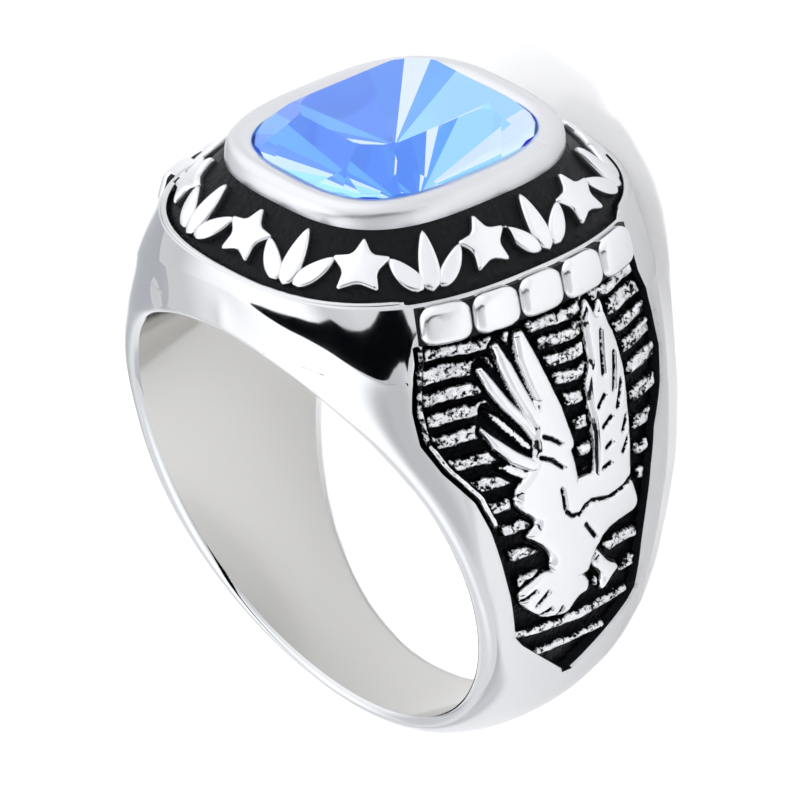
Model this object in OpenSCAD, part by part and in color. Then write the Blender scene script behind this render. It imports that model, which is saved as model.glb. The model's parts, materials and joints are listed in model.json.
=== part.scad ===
// Statement ring: a cast signet ring with a faceted cushion stone in a rounded bezel.
// It is shaped upright about the finger hole's centre, with x towards a shoulder, y along the
// finger and z towards the stone, and laid() then turns it onto its side, as it rests.

/* [Finger hole] */
// Diameter of the finger hole, a US size 10
bore_d = 19.8; // [19.6:0.1:20]

/* [Band] */
// Width of the band at its bottom
shank_w = 4.2; // [3.9:0.1:4.6]
// Metal at the bottom of the band
shank_t = 1.2; // [1.1:0.05:1.5]
// Width of the finger hole's wall under the stone
head_w = 18.8; // [18.4:0.1:19.2]
// Half width of the flat on which each side of the head rests
rest_half = 2; // [1:0.5:3]

/* [Head] */
// Half length of the head's lip across the finger
lip_x = 8.25; // [8:0.05:8.5]
// Half length of the head's lip along the finger
lip_y = 9.5; // [9.3:0.05:9.7]
// Height of the lip over the finger hole's centre
lip_z = 12.95; // [12.8:0.05:13.1]
// Width of the lip
lip_w = 0.3; // [0.2:0.05:0.4]
// Depth of the collar's blackened ground under the lip
ground_depth = 0.35; // [0.25:0.05:0.45]
// How far the collar's ornaments stand over the ground
ornament_h = 0.4; // [0.3:0.05:0.5]
// Ornaments around the collar, stars and leaf sprays in turn
ornaments = 18; // [14:2:20]

/* [Bezel and stone] */
// Half length of the bezel's foot across the finger
bezel_x = 5.74; // [5.6:0.02:5.9]
// Half length of the bezel's foot along the finger
bezel_y = 6.63; // [6.5:0.01:6.8]
// Height of the bezel's crest
bezel_z = 16; // [15.9:0.05:16.2]
// Half length of the stone across the finger
stone_x = 4.65; // [4.5:0.05:4.75]
// Half length of the stone along the finger
stone_y = 5.5; // [5.35:0.05:5.6]
// Height of the stone's girdle
girdle_z = 15.7; // [15.6:0.05:15.8]
// Height of the stone's crown over its girdle
crown_h = 1.6; // [1.3:0.1:1.8]
// Clear gap between the stone and its seat
stone_gap = 0.04; // [0.03:0.01:0.06]

/* [Shoulders] */
// Depth of the shoulder panels' blackened ground
panel_depth = 0.5; // [0.4:0.05:0.6]
// Height of the cross ribs over the ground
rib_h = 0.28; // [0.2:0.02:0.34]
// Height of the eagle over the ground
eagle_h = 0.62; // [0.5:0.02:0.7]
// Pads in the row over each panel
pads = 5; // [3:2:7]
// Height of a pad
pad_h = 1.85; // [1.7:0.05:1.95]
// How far a pad stands out of the shoulder
pad_out = 0.55; // [0.4:0.05:0.65]

/* [Hidden] */

bore_r = bore_d / 2;
// Half widths of the wall at the finger hole, as a Bezier from the bottom to the top
rim_half = [shank_w / 2, 4.25, 4.95, head_w / 2];
// Band under the hole's centre. Columns: angle from the bottom, metal, roundness of the section
band_rows = [
    [0, shank_t, 1.9],
    [30, 1.25, 2.1],
    [64.5, 1.75, 2.7],
    [90, 1.4, 3.7]];
// Shoulders and head. Columns: height, half length across the finger, bulge past the wall, roundness
head_rows = [
    [0, 11.3, 0, 3.7],
    [4, 10.98, 0.03, 2.9],
    [7.5, 10, 0.1, 2.4],
    [11, 9.12, 0.24, 2.45],
    [lip_z, lip_x, lip_y - head_w / 2, 2.55]];
// Straight part of the wall between the finger hole and the rounded outside
edge = 0.25;
// Shoulder panel's outline. Columns: height, half width
panel_rows = [
    [-4.95, 0.05], [-2.75, 3.15], [0, 3.9], [3.2, 4.15], [4.6, 4.8],
    [6.2, 5.9], [8.6, 6.5], [10, 6.3], [11.1, 5.8]];
// Heights of the cross ribs, and their thickness
rib_rows = [10.65, 9.82, 8.98, 8.15, 7.25, 6.2, 5.15, 4.1, 3, 1.75, 0.45, -0.85];
rib_t = 0.46;
// Bars under the eagle. Columns: height, half width, thickness
perch_rows = [[-2.2, 3.1, 0.6], [-3.35, 1.8, 0.6]];
// Eagle's long feathers. Columns: tip y, tip z, root y, root z, width
feather_rows = [
    [-1.65, 10.7, -0.75, 5.8, 1.1],
    [-2.75, 10.5, -1.2, 6, 0.85],
    [-3.5, 9.8, -1.5, 6, 0.8],
    [-3.8, 8.1, -1.7, 5.7, 0.5],
    [-3.9, 7.4, -1.6, 4.6, 0.62],
    [2.5, 10.8, 2, 5, 1.15],
    [3.45, 10.5, 2.7, 4.6, 1.1],
    [4, 8.4, 3, 4, 0.9]];
// Eagle's wings, body, head, tail and foot as outlines in y and z
wing_points = [
    [-1.1, 9.2], [-0.5, 8.6], [-0.2, 8], [0.4, 6.7], [0.5, 5.5], [0.7, 3.6],
    [-1.4, 2.6], [-3, 3.9], [-2.9, 5], [-1.9, 4.9], [-1.7, 6.4]];
far_wing_points = [[2.2, 9], [1.7, 7.4], [1.6, 5.8], [1.3, 3.4], [3.2, 3], [3.9, 5.8], [4.1, 7], [3.6, 9]];
body_points = [
    [-3, 4.4], [-2.9, 3.7], [-2.3, 3], [-2.6, 2.5], [-1.7, 1.6], [-1.3, 0.9], [-1.8, 0.2], [-0.4, -0.9],
    [0.8, -0.7], [1, 0.1], [1.4, 0.9], [2.3, 1.4], [3.2, 1.2], [3.75, 2], [3.6, 2.9], [3.1, 3.5], [0.7, 4.2]];
tail_points = [[-1.6, 0.4], [-3, -0.1], [-2.85, -0.8], [-2, -1.6], [-1.1, -1.95], [-0.2, -1.7], [0.2, -0.9]];
foot_points = [[0.6, 0.2], [1.3, 0.1], [2.3, -0.6], [1.9, -1.1], [2.4, -1.9], [0.9, -1.9], [0.7, -0.9]];
// Collar's ground: foot of the slope at the lip and its top at the bezel
ground_z = lip_z - ground_depth;
ground_x = lip_x - lip_w;
ground_y = lip_y - lip_w;
slope_z = 15.05;
head_round = 2.6;
bezel_round = 2.95;
// Facets of the stone. Columns: number, first azimuth, tilt from level, height over the girdle
crown_rows = [[8, 0, 38, 0], [16, 11.25, 44, 0], [8, 22.5, 25, 0.62]];
pavilion_rows = [[8, 0, 40, 0], [16, 11.25, 45, 0]];
girdle_t = 0.3;
// Row of pads: half lengths and roundness of the curve through their middles, length of the row,
// gap between pads, turn of a pad for each millimetre along the row, and lean of its face
pad_line = [8.72, 9.6, 2.5];
pad_run = 11.2;
pad_gap = 0.12;
pad_turn = 4.6;
pad_lean = 14;
pad_bevel = 0.35;
pad_root = 0.9;
// Collar's ornaments: radius of a star, height of a spray
star_r = 1.15;
spray_h = 2.3;
// Height at which the head's side rests, and where the cuts into a shoulder start
rest_z = 11;
panel_x = 7;
overlap = 0.05;
big = 40;

// Cosine or sine of a rounded section, by its roundness
function arc_power(v, p) = sign(v) * pow(abs(v), 2 / p);

// Bezier curve through four values
function bezier(u, c) = c[0] * pow(1 - u, 3) + 3 * c[1] * u * pow(1 - u, 2)
    + 3 * c[2] * u * u * (1 - u) + c[3] * pow(u, 3);

// Slope of a table's column at one of its rows
function slope_at(rows, c, i) =
    let (a = max(i - 1, 0), b = min(i + 1, len(rows) - 1))
    (rows[b][c] - rows[a][c]) / (rows[b][0] - rows[a][0]);

// Last row of a table that isn't past x
function row_under(rows, x, i = 0) =
    i >= len(rows) - 2 || x < rows[i + 1][0] ? i : row_under(rows, x, i + 1);

// Smooth curve through column c of a table, by the first column
function smooth(rows, c, x) =
    let (i = row_under(rows, x), h = rows[i + 1][0] - rows[i][0], t = (x - rows[i][0]) / h)
    (2 * t ^ 3 - 3 * t ^ 2 + 1) * rows[i][c] + (t ^ 3 - 2 * t ^ 2 + t) * h * slope_at(rows, c, i)
    + (3 * t ^ 2 - 2 * t ^ 3) * rows[i + 1][c] + (t ^ 3 - t ^ 2) * h * slope_at(rows, c, i + 1);

// Half width of the finger hole's wall at a height
function rim_half_at(z) = bezier((max(-1, min(1, z / bore_r)) + 1) / 2, rim_half);

// Steps of a skin: fine on the outside, and wider under and over a relief. Columns: angle across a
// section, angle along the band, angle along the shoulder
fine = [12, 6, 6];
wide = [18, 15, 15];

// Angles across one section, from the near wall over the outside to the far wall
function fan(step) = [for (f = [180:-step:-0.1]) f];

// Flat side of the head, on which the ring rests
rest_y = let (p = smooth(head_rows, 3, rest_z), x = smooth(head_rows, 1, rest_z))
    (rim_half_at(rest_z) + smooth(head_rows, 2, rest_z)) * pow(1 - pow(rest_half / x, p), 1 / p);
function rested(y) = max(-rest_y, min(rest_y, y));

// Section through the band, square to its run, at an angle from the bottom
function band_section(a, sink, steps) =
    let (z = -bore_r * cos(a), w = rim_half_at(z), r0 = bore_r + edge,
         r1 = bore_r + smooth(band_rows, 1, a) - sink, p = smooth(band_rows, 2, a), ri = bore_r - 1)
    concat(
        [for (f = fan(steps[0])) let (r = r0 + (r1 - r0) * arc_power(sin(f), p))
            [r * sin(a), w * arc_power(cos(f), p), -r * cos(a)]],
        [[ri * sin(a), w, -ri * cos(a)], [ri * sin(a), -w, -ri * cos(a)]]);

// Level slice of one shoulder and its half of the head
function head_slice(z, sink, steps) =
    let (rim_x = z < bore_r ? sqrt(bore_r ^ 2 - z ^ 2) : 0, w = rim_half_at(z) + smooth(head_rows, 2, z),
         x0 = rim_x * (1 + edge / bore_r), x1 = smooth(head_rows, 1, z) - sink,
         p = smooth(head_rows, 3, z), xi = max(rim_x - 1, -overlap))
    concat(
        [for (f = fan(steps[0])) [x0 + (x1 - x0) * arc_power(sin(f), p), rested(w * arc_power(cos(f), p)), z]],
        [[xi, rested(w), z], [xi, -rested(w), z]]);

// Rows of points over one half of the ring, from the bottom of the band up to the lip
function half_rows(sink, steps) = concat(
    [for (a = [-1, for (b = [steps[1]:steps[1]:90]) b]) band_section(a, sink, steps)],
    [for (a = [90 + steps[2]:steps[2]:179]) head_slice(-bore_r * cos(a), sink, steps)],
    [for (i = [0:3]) head_slice(bore_r + i * (lip_z - bore_r) / 3, sink, steps)]);

// Closed skin over rows of points that all have the same count
module skin(rows) {
    n = len(rows[0]);
    last = len(rows) - 1;
    polyhedron(
        points = [for (r = rows) each r],
        faces = concat(
            [for (i = [0:last - 1], j = [0:n - 1]) let (k = (j + 1) % n)
                each [[i * n + j, (i + 1) * n + j, (i + 1) * n + k], [i * n + j, (i + 1) * n + k, i * n + k]]],
            [[for (j = [0:n - 1]) j]],
            [[for (j = [n - 1:-1:0]) last * n + j]]));
}

// Outline of a cushion in the plane, counterclockwise
function cushion(x, y, p, n = 48) =
    [for (i = [0:n - 1]) let (a = 360 * i / n) [x * arc_power(cos(a), p), y * arc_power(sin(a), p)]];

// Solid through cushion outlines. Columns of a ring: x, y, roundness, height
module cushion_loft(rings, n = 48)
    skin([for (r = rings) [for (q = cushion(r[0], r[1], r[2], n)) [q[0], q[1], r[3]]]]);

// Draws its children, and again on the other shoulder
module on_both_shoulders() {
    children();
    mirror([1, 0, 0]) children();
}

// Drives a flat outline in y and z through the shoulder at the right
module through_shoulder() translate([panel_x, 0, 0]) rotate([90, 0, 90]) linear_extrude(big) children();

// Right half of the ring, and the same sunk by a depth, for what is cut into or raised on it
module half_shape() skin(half_rows(0, fine));
module sunk_shape(sink) skin(half_rows(sink, wide));

// Outline of a panel, grown by a margin
module panel_outline(margin = 0) polygon(concat(
    [for (r = panel_rows) [r[1] + margin, r[0]]],
    [for (i = [len(panel_rows) - 1:-1:0]) [-margin - panel_rows[i][1], panel_rows[i][0]]]));

// Feather that narrows to a rounded tip
module feather(r) {
    a = [r[2], r[3]];
    b = [r[0], r[1]];
    u = (b - a) / norm(b - a);
    v = [-u[1], u[0]] * r[4] / 2;
    m = a + (b - a) * 0.7;
    n = b - u * r[4] * 0.3;
    polygon([a - v, m - v, n - v * 0.55, b, n + v * 0.55, m + v, a + v]);
}

// Spread eagle, seen from the side
module eagle_outline() {
    for (r = feather_rows) feather(r);
    polygon(wing_points);
    polygon(far_wing_points);
    polygon(body_points);
    polygon(tail_points);
    polygon(foot_points);
}

// Cross ribs and the bars under the eagle
module rib_outline() {
    for (z = rib_rows) translate([-big / 2, z - rib_t / 2]) square([big, rib_t]);
    for (r = perch_rows) translate([-r[1], r[0] - r[2] / 2]) square([2 * r[1], r[2]]);
}

// Relief of one shoulder over the panel's ground
module shoulder_relief() {
    intersection() {
        sunk_shape(panel_depth - rib_h);
        through_shoulder() intersection() {
            panel_outline(2 * overlap);
            rib_outline();
        }
    }
    intersection() {
        sunk_shape(panel_depth - eagle_h);
        through_shoulder() eagle_outline();
    }
}

// Rounded block that stands out of the shoulder in the lip's place. The row follows the lip's curve.
module pad(i) {
    pitch = pad_run / pads;
    y = pitch * (i - (pads - 1) / 2);
    x = pad_line[0] * pow(1 - pow(abs(y) / pad_line[1], pad_line[2]), 1 / pad_line[2]);
    w = (pitch - pad_gap) / 2;
    h = pad_h / 2;
    translate([x, y, lip_z - 2 * overlap - h]) rotate([0, 0, -y * pad_turn]) rotate([0, -pad_lean, 0])
        rotate([90, 0, 90]) cushion_loft([
            [w, h, 5, -pad_root],
            [w, h, 5, pad_out - pad_bevel],
            [w - pad_bevel, h - pad_bevel, 4, pad_out]], 16);
}

// Gap in the lip for the row of pads
module pad_gap_in_lip() translate([-big / 2, -pad_run / 2, ground_z]) cube([big, pad_run, big]);

// Middle line of the collar's slope
mid_x = (ground_x + bezel_x) / 2;
mid_y = (ground_y + bezel_y) / 2;
function signed_power(v, p) = sign(v) * pow(abs(v), p);

// Direction square to the collar's middle line at a point of it
function collar_normal(p) = atan2(
    signed_power(p[1] / mid_y, head_round - 1) / mid_y,
    signed_power(p[0] / mid_x, head_round - 1) / mid_x);

// Length along the middle line up to each degree, and the turn at which a share of it is passed,
// so that the ornaments are even
collar_line = cushion(mid_x, mid_y, head_round, 360);
collar_run = [
    for (i = 0, s = 0; i <= 360; s = s + norm(collar_line[(i + 1) % 360] - collar_line[i % 360]), i = i + 1)
        s];
function turn_at(share, i = 0) = collar_run[i] >= share * collar_run[360] ? i : turn_at(share, i + 1);

// Places its children on the collar's slope: t is the turn around the head
module on_collar(t) {
    p = [mid_x * arc_power(cos(t), head_round), mid_y * arc_power(sin(t), head_round)];
    slope = atan((slope_z - ground_z) / (ground_x - bezel_x));
    translate([p[0], p[1], (ground_z + slope_z) / 2]) rotate([0, 0, collar_normal(p)])
        rotate([0, slope, 0]) rotate([0, 0, 90]) children();
}

// Five-pointed star
module star(r) polygon([for (i = [0:9]) (i % 2 == 0 ? r : r * 0.45) * [sin(i * 36), cos(i * 36)]]);

// Leaf of a length and width
module leaf(l, w) polygon([
    [0, -l / 2], [w / 2, -l / 8], [w / 3, l / 4], [0, l / 2], [-w / 3, l / 4], [-w / 2, -l / 8]]);

// Upright spray of three leaves
module spray(h) {
    leaf(h, h * 0.27);
    for (s = [-1, 1]) translate([s * h * 0.23, -h * 0.13]) rotate(-s * 28) leaf(h * 0.65, h * 0.22);
}

// Stars and sprays in turn around the collar
module collar_ornaments() for (i = [0:ornaments - 1])
    on_collar(turn_at((i + 0.5) / ornaments)) translate([0, 0, -ornament_h]) linear_extrude(2 * ornament_h)
        if (i % 2 == 0) star(star_r); else spray(spray_h);

// Head over the lip: the sloping ground of the collar, and the rounded bezel around the stone
module collar_and_bezel() cushion_loft([
    [ground_x + overlap, ground_y + overlap, head_round, ground_z - 1.6],
    [ground_x + overlap, ground_y + overlap, head_round, ground_z - overlap],
    [bezel_x + 0.02, bezel_y + 0.02, bezel_round, slope_z],
    [bezel_x, bezel_y, bezel_round, slope_z + 0.4],
    [bezel_x - 0.12, bezel_y - 0.12, bezel_round, bezel_z - 0.22],
    [bezel_x - 0.38, bezel_y - 0.38, bezel_round, bezel_z - 0.02],
    [bezel_x - 0.6, bezel_y - 0.6, bezel_round, bezel_z]]);

// Reach of the girdle in a direction
function reach(a, x, y) = let (p = bezel_round / (bezel_round - 1))
    pow(pow(abs(x * cos(a)), p) + pow(abs(y * sin(a)), p), 1 / p);

// Block that keeps what lies inside one facet: azimuth, tilt from level, reach, side 1 up or -1 down
module facet_block(a, tilt, d, z, side) translate([0, 0, z]) rotate([0, 0, a])
    translate([d, 0, 0]) rotate([0, side > 0 ? tilt : 180 - tilt, 0]) translate([-big / 2, -big / 2, -big])
        cube(big);

// Facets of one side of the stone, up or down from the girdle's edge at height z
function facets(rows, z, side) =
    [for (r = rows, i = [0:r[0] - 1]) [r[1] + i * 360 / r[0], r[2], z + side * r[3], side]];

// Planes of all facets. Columns: azimuth, tilt from level, height at the girdle's edge, side
cuts = concat(
    [for (i = [0:15]) [i * 22.5, 90, girdle_z, 1]],
    facets(crown_rows, girdle_z + girdle_t / 2, 1),
    facets(pavilion_rows, girdle_z - girdle_t / 2, -1));

// Stone as it is cut, each facet by one plane. grow widens it for its seat.
module cut_stone(grow = 0) intersection() {
    translate([-big / 2, -big / 2, girdle_z - big / 2]) cube([big, big, big / 2 + crown_h + grow]);
    intersection_for (c = cuts) facet_block(c[0], c[1], reach(c[0], stone_x, stone_y) + grow, c[2], c[3]);
}

// Opening for the stone: its own shape, and its girdle's outline all the way up
module seat() {
    cut_stone(stone_gap);
    intersection() {
        translate([-big / 2, -big / 2, girdle_z - overlap]) cube([big, big, big]);
        intersection_for (i = [0:15])
            facet_block(i * 22.5, 90, reach(i * 22.5, stone_x, stone_y) + stone_gap, girdle_z, 1);
    }
}

// How far a point at [x, y, z] reaches towards the surface under the ring, leaned by b
function depth_at(p, b) = p[1] * cos(b) - p[2] * sin(b);

// Point that reaches furthest towards the surface
function deepest(points, b) =
    let (d = [for (p = points) depth_at(p, b)], m = max(d))
    [for (i = [0:len(d) - 1]) if (d[i] == m) points[i]][0];

outer_points = [for (r = half_rows(0, fine)) each r];
head_points = [for (p = outer_points) if (p[2] > 0) p];
shank_points = [for (p = outer_points) if (p[2] < 0) p];

// Lean at which the head's side and the band's side both touch the surface
function rest_lean(b, n) =
    let (h = deepest(head_points, b), s = deepest(shank_points, b), c = atan((h[1] - s[1]) / (h[2] - s[2])))
    n == 0 ? c : rest_lean(c, n - 1);

lean = rest_lean(20, 4);
rise = max([for (p = outer_points) depth_at(p, lean)]);
// How far the band's bottom and the stone's table reach along the surface
table_y = stone_y - (crown_h - girdle_t / 2) / tan(crown_rows[0][2]);
back_reach = max([for (p = shank_points) -p[2] * cos(lean) + abs(p[1]) * sin(lean)]);
front_reach = (girdle_z + crown_h) * cos(lean) + table_y * sin(lean);

// Turns the upright ring onto its side, as it rests, with its middle over the origin
module laid() translate([0, (front_reach - back_reach) / 2, rise]) rotate([-lean, 0, 0])
    rotate([90, 180, 0]) children();

// Channel of the collar, down to its ground
module collar_channel() cushion_loft([
    [ground_x, ground_y, head_round, ground_z], [ground_x, ground_y, head_round, lip_z + 1]]);

// Recess of a shoulder's panel, down to its ground
module panel_recess() difference() {
    through_shoulder() panel_outline();
    sunk_shape(panel_depth);
}

// Everything that is cast in one, before the finger hole
module casting() difference() {
    union() {
        difference() {
            on_both_shoulders() half_shape();
            collar_channel();
            pad_gap_in_lip();
            on_both_shoulders() panel_recess();
        }
        collar_and_bezel();
        collar_ornaments();
        on_both_shoulders() {
            shoulder_relief();
            for (i = [0:pads - 1]) pad(i);
        }
    }
    seat();
}

// The casting at its full height, with the finger hole through it
module ring_body() color("silver") laid() difference() {
    resize([0, 0, bore_r + shank_t + bezel_z]) casting();
    rotate([90, 0, 0]) cylinder(r = bore_r, h = big, center = true, $fn = 96);
}

// The stone by itself
module stone() color("royalblue") laid() cut_stone();

ring_body();
stone();
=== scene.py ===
import json
import logging
import math
from dataclasses import dataclass, field
from enum import Enum

import bmesh
import bpy
import numpy as np
from mathutils import Matrix, Vector
from mathutils.bvhtree import BVHTree


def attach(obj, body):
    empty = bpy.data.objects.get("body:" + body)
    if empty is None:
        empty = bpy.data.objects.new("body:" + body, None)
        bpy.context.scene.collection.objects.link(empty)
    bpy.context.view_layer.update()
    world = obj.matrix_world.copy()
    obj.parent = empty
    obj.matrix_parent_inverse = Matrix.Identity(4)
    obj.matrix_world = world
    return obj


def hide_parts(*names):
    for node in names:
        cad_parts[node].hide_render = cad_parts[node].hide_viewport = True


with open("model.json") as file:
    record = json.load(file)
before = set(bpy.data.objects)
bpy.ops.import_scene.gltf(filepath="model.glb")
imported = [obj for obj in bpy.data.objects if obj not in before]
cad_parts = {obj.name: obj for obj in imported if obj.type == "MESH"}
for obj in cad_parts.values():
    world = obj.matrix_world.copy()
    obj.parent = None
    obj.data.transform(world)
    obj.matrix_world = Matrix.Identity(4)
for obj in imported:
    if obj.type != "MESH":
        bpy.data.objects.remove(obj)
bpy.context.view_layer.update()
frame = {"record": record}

LOG = logging.getLogger("statement_ring")
MM = 0.001


# ---------------------------------------------------------------- small tools

def linear(code: str) -> tuple[float, float, float, float]:
    """Turn an sRGB hex colour into Blender's linear colour.

    Args:
        code: Colour such as "#C8CACC".

    Returns:
        Red, green, blue and alpha.
    """
    parts = [int(code[i:i + 2], 16) / 255 for i in (1, 3, 5)]
    red, green, blue = [c / 12.92 if c <= 0.04045 else ((c + 0.055) / 1.055) ** 2.4 for c in parts]
    return red, green, blue, 1.0


def grain(size_mm: float) -> float:
    """Noise or wave scale, in Object coordinates, whose pattern is size_mm across."""
    return 1 / (size_mm * MM)


def add_node(tree: bpy.types.NodeTree, kind: str, links: dict | None = None, values: dict | None = None,
             **settings: object) -> bpy.types.Node:
    """Add a node with its settings, values and links.

    Args:
        tree: Tree to add to.
        kind: Blender's name for the node.
        links: Output socket for each input, by the input's name or number.
        values: Constant for each input, by its name or number.
        settings: The node's own properties.

    Returns:
        The new node.
    """
    node = tree.nodes.new(kind)
    for name, value in settings.items():
        setattr(node, name, value)
    for key, value in (values or {}).items():
        pick_socket(node.inputs, key).default_value = value
    for key, source in (links or {}).items():
        tree.links.new(source, pick_socket(node.inputs, key))
    return node


def pick_socket(sockets: bpy.types.bpy_prop_collection, key: str | int) -> bpy.types.NodeSocket:
    """Find a socket by its number, or the first one in use with that name."""
    if isinstance(key, int):
        return sockets[key]
    return next(s for s in sockets if s.name == key and s.enabled)


def smoothstep(v: np.ndarray, low: float, high: float) -> np.ndarray:
    """Ease from 0 at low to 1 at high."""
    u = np.clip((v - low) / (high - low), 0, 1)
    return u * u * (3 - 2 * u)


def unit(v: np.ndarray) -> np.ndarray:
    """Scale each vector in the last axis to length 1."""
    return v / np.maximum(np.linalg.norm(v, axis=-1, keepdims=True), 1e-12)


def arc_power(v: np.ndarray, p: float | np.ndarray) -> np.ndarray:
    """Cosine or sine of a rounded section, by its roundness."""
    return np.sign(v) * np.abs(v) ** (2 / p)


def cushion(x: float, y: float, p: float, turn: np.ndarray) -> np.ndarray:
    """Points of a cushion outline at the given turns, as x and y."""
    return np.stack([x * arc_power(np.cos(turn), p), y * arc_power(np.sin(turn), p)], -1)


def full_turn(count: int) -> np.ndarray:
    """Even steps round a circle, from 0 and without the end."""
    return np.linspace(0, math.tau, count + 1)[:-1]


def even_run(line: np.ndarray, count: int, closed: bool = False) -> np.ndarray:
    """Pick points at even lengths along a line.

    Args:
        line: Points in order.
        count: Number of points wanted.
        closed: Whether the line returns to its first point.

    Returns:
        The even points; for a closed line the first isn't repeated.
    """
    points = np.vstack([line, line[:1]]) if closed else line
    run = np.concatenate([[0], np.cumsum(np.linalg.norm(np.diff(points, axis=0), axis=1))])
    at = np.linspace(0, run[-1], count + 1)[:-1] if closed else np.linspace(0, run[-1], count)
    return np.stack([np.interp(at, run, points[:, i]) for i in range(points.shape[1])], 1)


def line_length(line: np.ndarray) -> float:
    """Length of a line through points."""
    return float(np.linalg.norm(np.diff(line, axis=0), axis=1).sum())


def cut_corners(line: np.ndarray, share: float) -> np.ndarray:
    """Replace each corner of a closed line by two points, a share along both of its sides."""
    after = np.roll(line, -1, 0)
    pairs = [(1 - share) * line + share * after, share * line + (1 - share) * after]
    return np.stack(pairs, 1).reshape(-1, 2)


def tube_faces(rows: int, ring: int) -> list[tuple[int, ...]]:
    """Faces between rows of closed rings that all have the same count."""
    return [(i * ring + j, (i + 1) * ring + j, (i + 1) * ring + (j + 1) % ring, i * ring + (j + 1) % ring)
            for i in range(rows - 1) for j in range(ring)]


class Placement:
    """Where the upright ring, drawn in millimetres, lies in the row frame."""

    def __init__(self, record: dict) -> None:
        """Read the finger hole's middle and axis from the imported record."""
        hole = record["mounts"][0]
        _, s, c = hole["axis"]
        self.matrix = Matrix(((-MM, 0, 0, 0), (0, -s * MM, -c * MM, 0), (0, -c * MM, s * MM, 0),
                              (0, 0, 0, 1)))
        self.matrix.translation = Vector(hole["pos_m"])

    def settle(self, piece: bpy.types.Object) -> None:
        """Lay a finished piece down, with its place in its mesh."""
        piece.data.transform(self.matrix)
        piece.data.update()

    def direction(self, v: tuple[float, float, float]) -> Vector:
        """Turn a direction of the upright ring into the row frame."""
        return (self.matrix.to_3x3() @ Vector(v)).normalized()

    def point(self, v: tuple[float, float, float]) -> Vector:
        """Turn a place of the upright ring, in millimetres, into the row frame."""
        return self.matrix @ Vector(v)


def toward(az: float, el: float) -> Vector:
    """Direction at an azimuth, from -y through +x, and an elevation in degrees."""
    a, e = math.radians(az), math.radians(el)
    return Vector((math.sin(a) * math.cos(e), -math.cos(a) * math.cos(e), math.sin(e)))


def link_object(name: str, data: bpy.types.ID) -> bpy.types.Object:
    """Make an object of its data and link it to the scene."""
    piece = bpy.data.objects.new(name, data)
    bpy.context.scene.collection.objects.link(piece)
    return piece


def close_mesh(name: str, shape: bmesh.types.BMesh) -> bpy.types.Mesh:
    """Turn a finished bmesh into a mesh and free it."""
    mesh = bpy.data.meshes.new(name)
    shape.to_mesh(mesh)
    shape.free()
    return mesh


def make_object(name: str, points: np.ndarray, faces: list, finishes: list[bpy.types.Material] | None = None,
                which: list[int] | None = None, smooth: bool = True) -> bpy.types.Object:
    """Make a mesh object.

    Args:
        name: The piece's name.
        points: Its points, in millimetres of the upright ring.
        faces: Its faces by point numbers.
        finishes: Its materials.
        which: Material number of each face.
        smooth: Whether its faces shade smoothly.

    Returns:
        The object, linked to the scene.
    """
    mesh = bpy.data.meshes.new(name)
    mesh.from_pydata([tuple(map(float, p)) for p in points], [], faces)
    for finish in finishes or []:
        mesh.materials.append(finish)
    if which is not None:
        mesh.polygons.foreach_set("material_index", which)
    mesh.polygons.foreach_set("use_smooth", [smooth] * len(mesh.polygons))
    mesh.update()
    return link_object(name, mesh)


def make_prism(name: str, rows: np.ndarray, finishes: list[bpy.types.Material] | None = None,
               which: list[int] | None = None, smooth: bool = True,
               polish: np.ndarray | None = None) -> bpy.types.Object:
    """Make a solid of rows of closed rings, with a flat face at each end.

    Args:
        name: The piece's name.
        rows: Its points by row and place in the ring.
        finishes: Its materials.
        which: Material number of each face, the two ends last.
        smooth: Whether its faces shade smoothly.
        polish: The attribute "polish" by row and place.

    Returns:
        The solid.
    """
    count, ring = rows.shape[:2]
    faces = tube_faces(count, ring) + [tuple(range(ring)), tuple(range((count - 1) * ring, count * ring))]
    piece = make_object(name, rows.reshape(-1, 3), faces, finishes, which, smooth)
    if polish is not None:
        piece.data.attributes.new("polish", "FLOAT", "POINT").data.foreach_set("value", polish.ravel())
    heal(piece)
    return piece


def make_dome(name: str, rings: list[np.ndarray], top: tuple[float, float, float]) -> bpy.types.Object:
    """Make a solid of stacked rings, with a flat foot and a fan up to its top point."""
    n, last = len(rings[0]), (len(rings) - 1) * len(rings[0])
    points = np.vstack([*rings, [top]])
    faces = tube_faces(len(rings), n) + [tuple(range(n - 1, -1, -1))]
    faces += [(last + i, last + (i + 1) % n, len(points) - 1) for i in range(n)]
    return make_object(name, points, faces)


def heal(piece: bpy.types.Object, gap: float = 1e-4) -> None:
    """Merge doubles, drop what collapsed, and turn all faces outwards."""
    shape = bmesh.new()
    shape.from_mesh(piece.data)
    bmesh.ops.remove_doubles(shape, verts=shape.verts, dist=gap)
    bmesh.ops.dissolve_degenerate(shape, edges=shape.edges, dist=gap)
    bmesh.ops.recalc_face_normals(shape, faces=shape.faces)
    shape.to_mesh(piece.data)
    shape.free()
    piece.data.update()


def bake(piece: bpy.types.Object) -> None:
    """Turn a piece and its modifiers into a plain mesh."""
    graph = bpy.context.evaluated_depsgraph_get()
    mesh = bpy.data.meshes.new_from_object(piece.evaluated_get(graph), depsgraph=graph)
    piece.modifiers.clear()
    old, piece.data = piece.data, mesh
    mesh.name = piece.name
    bpy.data.meshes.remove(old)


def discard(*pieces: bpy.types.Object) -> None:
    """Remove helper objects and their meshes."""
    for piece in pieces:
        mesh = piece.data
        bpy.data.objects.remove(piece)
        bpy.data.meshes.remove(mesh)


# ---------------------------------------------------------------- finishes

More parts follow.
